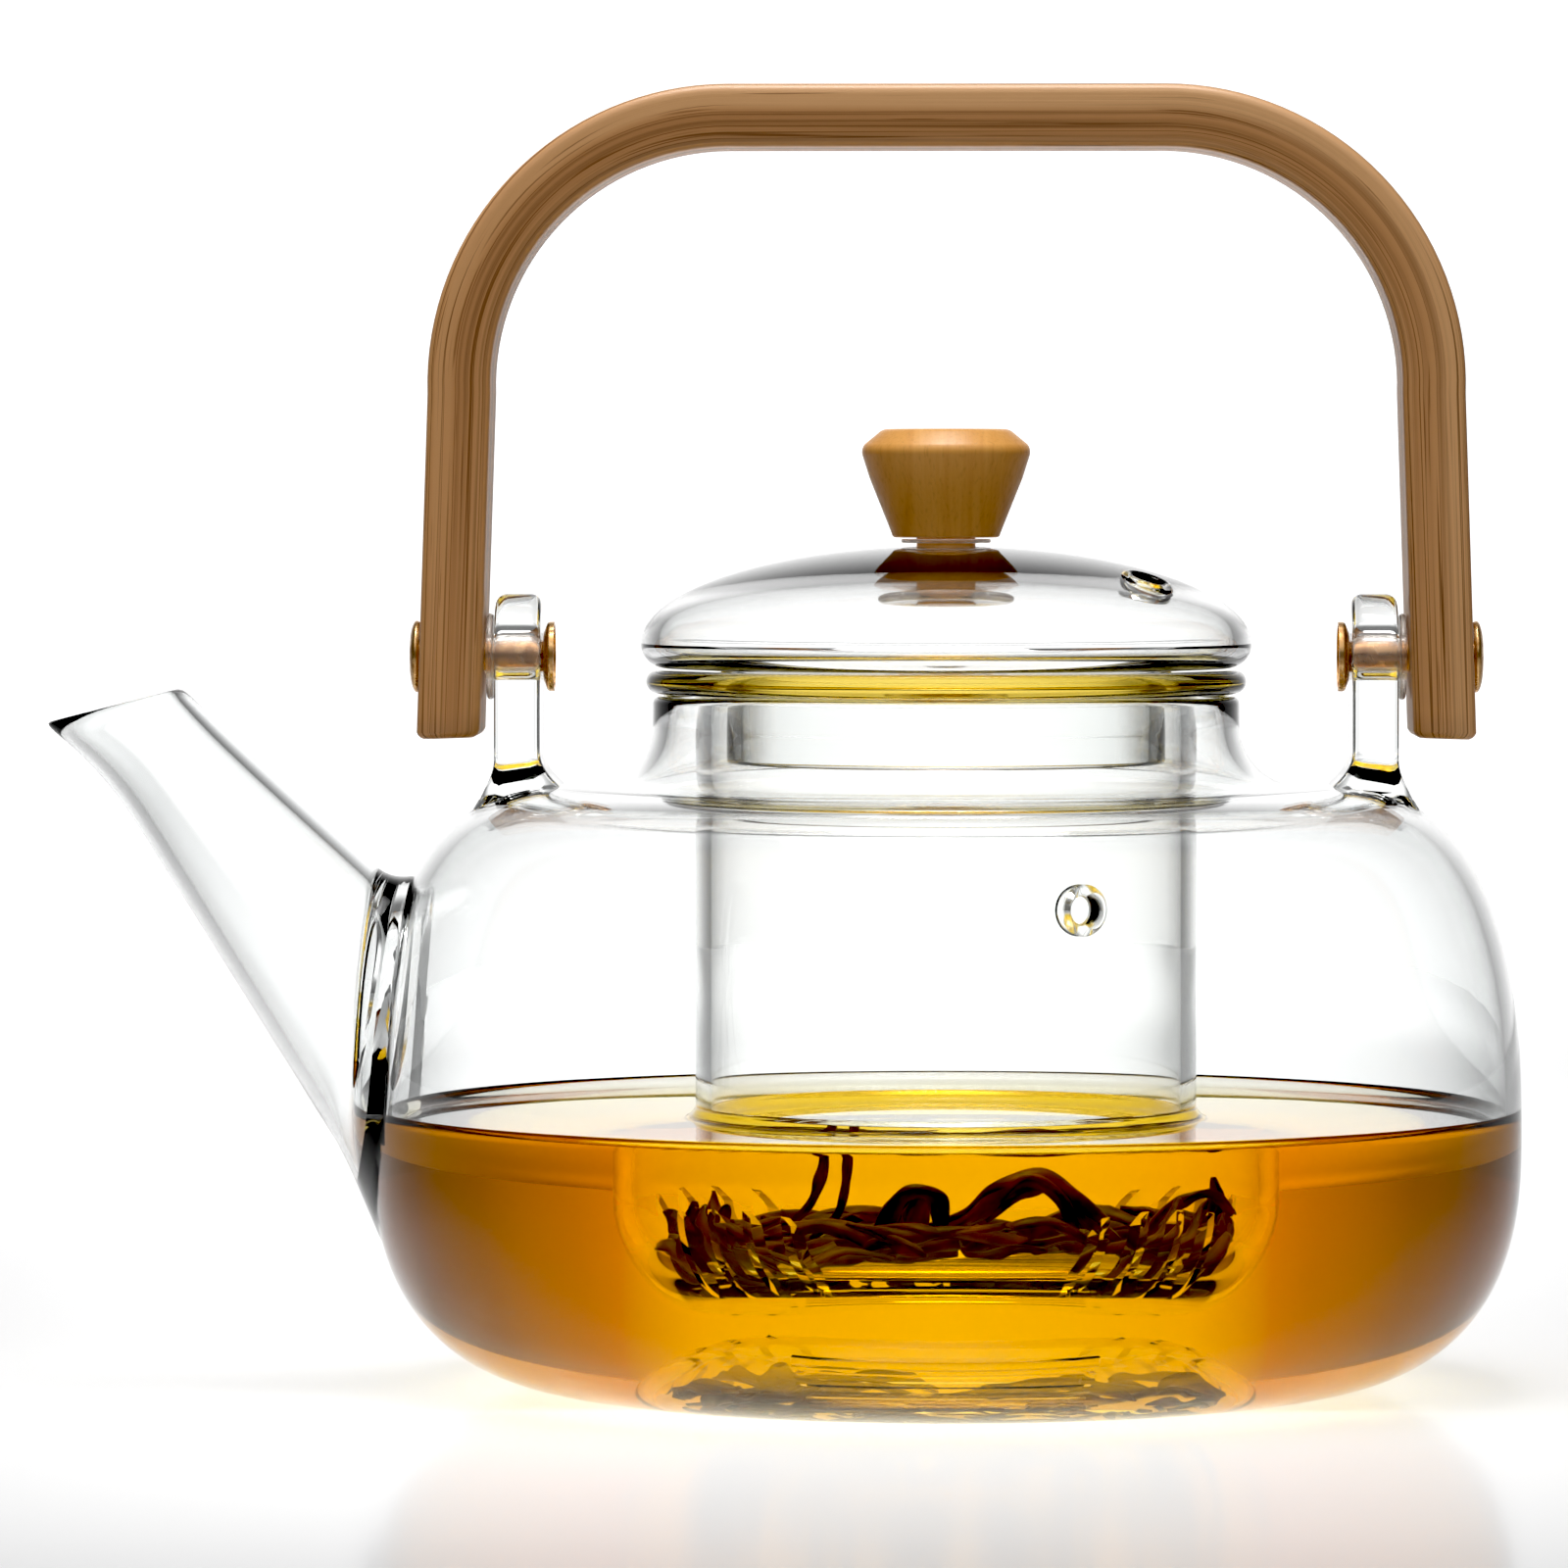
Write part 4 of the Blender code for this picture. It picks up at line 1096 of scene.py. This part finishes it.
def make_leaves():
    """A few leaves placed one by one, and the rest scattered under them; they ride with the infuser."""
    # Each row holds a leaf's path, width, curl and twist.
    placed = [
        ([(-12.2, -8, 33.8), (-12.3, -8, 30.4), (-13.4, -8, 26.6), (-16.2, -7, 23.6)], 1.6, 1.6, 0.6),
        ([(-9.6, -9, 33.8), (-9.9, -9, 29.6), (-10.8, -8, 25.4), (-13.6, -7, 22.8)], 1.5, 1.4, -0.6),
        ([(-6.4, -11, 22.4), (-5.2, -12, 26.2), (-3.4, -12, 28), (-1, -11, 27), (-0.4, -10, 23.4)],
         4.6, 1.9, 1.1),
        ([(-4.6, -13, 22.2), (-3.6, -13, 25), (-2.4, -13, 27.4)], 3.4, 1.6, -0.7),
        ([(-3, -7, 23.6), (2.2, -8, 25.4), (5.2, -9, 28.6), (9.6, -9, 30.4), (13.4, -9, 27.6),
          (16.4, -9, 24.6)], 3.8, 2.2, 3.2),
        ([(-6, -8, 23), (1.2, -9, 24.6), (4.6, -10, 27.4), (8.6, -10, 29.6), (12, -10, 27), (13.4, -10, 22.6)],
         3.0, 2.0, -2.6),
        ([(4, -6, 24.6), (7.6, -7, 28), (11, -8, 29), (14, -8, 25.8), (17.6, -8, 22.8)], 3.2, 1.8, 2.0),
        ([(2, -12, 22), (6, -13, 24.2), (10.6, -13, 25), (15.4, -12, 22.4)], 3.4, 2.0, -2.0),
        ([(19.6, -7, 22.6), (21.4, -7, 25.2), (24, -6, 27), (26.6, -5, 27.4), (28.6, -3, 25.2)], 2.0, 1.8, 0.5),
        ([(20.4, -11, 21.6), (23.6, -10, 22.6), (27.2, -7, 24.2)], 1.5, 1.4, 0.4),
        ([(24, -11, 21.2), (26.4, -10, 21.8), (28.2, -7, 23.6)], 2.4, 1.6, 0.5),
        ([(-28.4, -5, 22.4), (-27.6, -8, 22.8), (-26, -9, 21.4), (-23.4, -10, 21.4)], 2.2, 1.9, 0.9),
        ([(-26, -9, 21.6), (-25.4, -10, 24.4), (-22.8, -11, 24.8), (-19.8, -12, 22.6)], 4.2, 1.8, 0.8),
        ([(-21, -12, 22), (-16, -13, 24.4), (-10, -14, 24.6), (-5, -14, 22)], 4.2, 1.9, 1.6),
        ([(-18, 4, 22), (-12, 6, 24.6), (-6, 7, 25), (0, 8, 22.6)], 4.6, 1.5, -0.9),
        ([(6, 8, 22), (11, 9, 24.6), (16, 8, 25), (21, 6, 22.4)], 4.6, 1.6, 0.7),
    ]
    floor = (INFUSER_LOW.z + WALL) / MM
    shapes = placed + scattered_leaves(np.random.default_rng(LEAF_SEED), floor)
    for k, shape in enumerate(shapes):
        leaf = make_leaf(f"leaf_{k:02d}", *shape, seed=SEED_OF_FIRST_LEAF + k)
        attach(leaf, "infuser")


# ---- studio
def make_floor():
    """A round table, wide enough for every view of the pot."""
    radius, steps = 1.5, 96
    rim = [(radius * math.cos(TAU * k / steps), radius * math.sin(TAU * k / steps), 0.0) for k in range(steps)]
    floor = mesh_object("table", rim, [tuple(range(steps))], [floor_material()])
    floor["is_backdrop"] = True


def grey_ramp(tree, turn, levels):
    """Brightness by the angle away from straight behind the pot, in degrees."""
    return ramp(tree, turn, [(angle / 180, (level, level, level)) for angle, level in levels])


def make_world():
    """A lit white wall behind, black flags at both sides, and a soft front and ceiling."""
    world = bpy.context.scene.world = bpy.data.worlds.new("studio")
    world.use_nodes = True
    tree = world.node_tree
    tree.nodes.clear()
    split = add(tree, "SeparateXYZ", {"Vector": add(tree, "TexCoord").outputs["Generated"]})
    azimuth = calculate(tree, "ARCTAN2", split.outputs["X"], split.outputs["Y"])
    turn = calculate(tree, "DIVIDE", calculate(tree, "ABSOLUTE", azimuth), math.pi)
    low = grey_ramp(tree, turn, [
        (0, 0.92), (12, 0.88), (20, 0.53), (30, 0.28), (44, 0.13), (60, 0.08), (110, 0.08), (180, 0.10),
    ])
    high = grey_ramp(tree, turn, [(0, 0.16), (40, 0.13), (75, 0.12), (110, 0.34), (140, 0.85), (180, 1.05)])
    rise = spread(tree, split.outputs["Z"], math.sin(math.radians(12)), math.sin(math.radians(48)))
    light = add(tree, "Background", {"Color": blend_colours(tree, rise, low, high), "Strength": 1.35})
    output = add(tree, "OutputWorld")
    tree.links.new(light.outputs[0], output.inputs["Surface"])


def soft_box(name, size, place, radiance):
    """A rectangular light that faces straight down; a honeycomb grid narrows its beam."""
    lamp = bpy.data.lights.new(name, "AREA")
    lamp.shape = "RECTANGLE"
    lamp.size, lamp.size_y = size
    lamp.energy = radiance * math.pi * size[0] * size[1]
    lamp.spread = math.radians(50)
    made = place_object(name, lamp)
    made.location = place
    down = Vector((place[0], place[1], 0)) - Vector(place)
    made.rotation_euler = down.to_track_quat("-Z", "Y").to_euler()
    return lamp


def make_lights():
    """One light that casts a soft shadow, and three that only brighten the table."""
    soft_box("pot_box", (0.24, 0.46), (-0.02, 0.03, 0.46), 0.30)
    soft_box("pot_fill", (0.24, 0.46), (-0.02, 0.03, 0.47), 0.80).use_shadow = False
    soft_box("back_fill", (0.36, 0.6), (-0.04, 0.56, 0.47), 1.12).use_shadow = False
    soft_box("far_fill", (0.70, 0.9), (-0.06, 1.31, 0.47), 1.12).use_shadow = False


def make_camera():
    lens = bpy.data.cameras.new("camera")
    lens.lens = 210.0
    lens.sensor_width = 36.0
    lens.clip_start = 0.05
    lens.clip_end = 60.0
    camera = place_object("camera", lens)
    camera.location = (0.0, -1.197, 0.1175)
    aim = Vector((-0.0212, 0.0, 0.0791)) - camera.location
    camera.rotation_euler = aim.to_track_quat("-Z", "Y").to_euler()
    bpy.context.scene.camera = camera


def main():
    make_pot()
    make_infuser()
    make_lid()
    make_knob()
    make_handle()
    make_pivots()
    make_tea()
    make_leaves()
    make_floor()
    make_world()
    make_lights()
    make_camera()
    view = bpy.context.scene.view_settings
    view.view_transform = "Standard"
    view.use_curve_mapping = True
    view.curve_mapping.black_level = (0.032, 0.032, 0.032)
    view.curve_mapping.update()
    cycles = bpy.context.scene.cycles
    cycles.max_bounces = cycles.transmission_bounces = cycles.transparent_max_bounces = 40


main()
LOOKS_LOW, LOOKS_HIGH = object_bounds()
str([list(map(float, p)) for p in (CAD_LOW, CAD_HIGH, LOOKS_LOW, LOOKS_HIGH)])
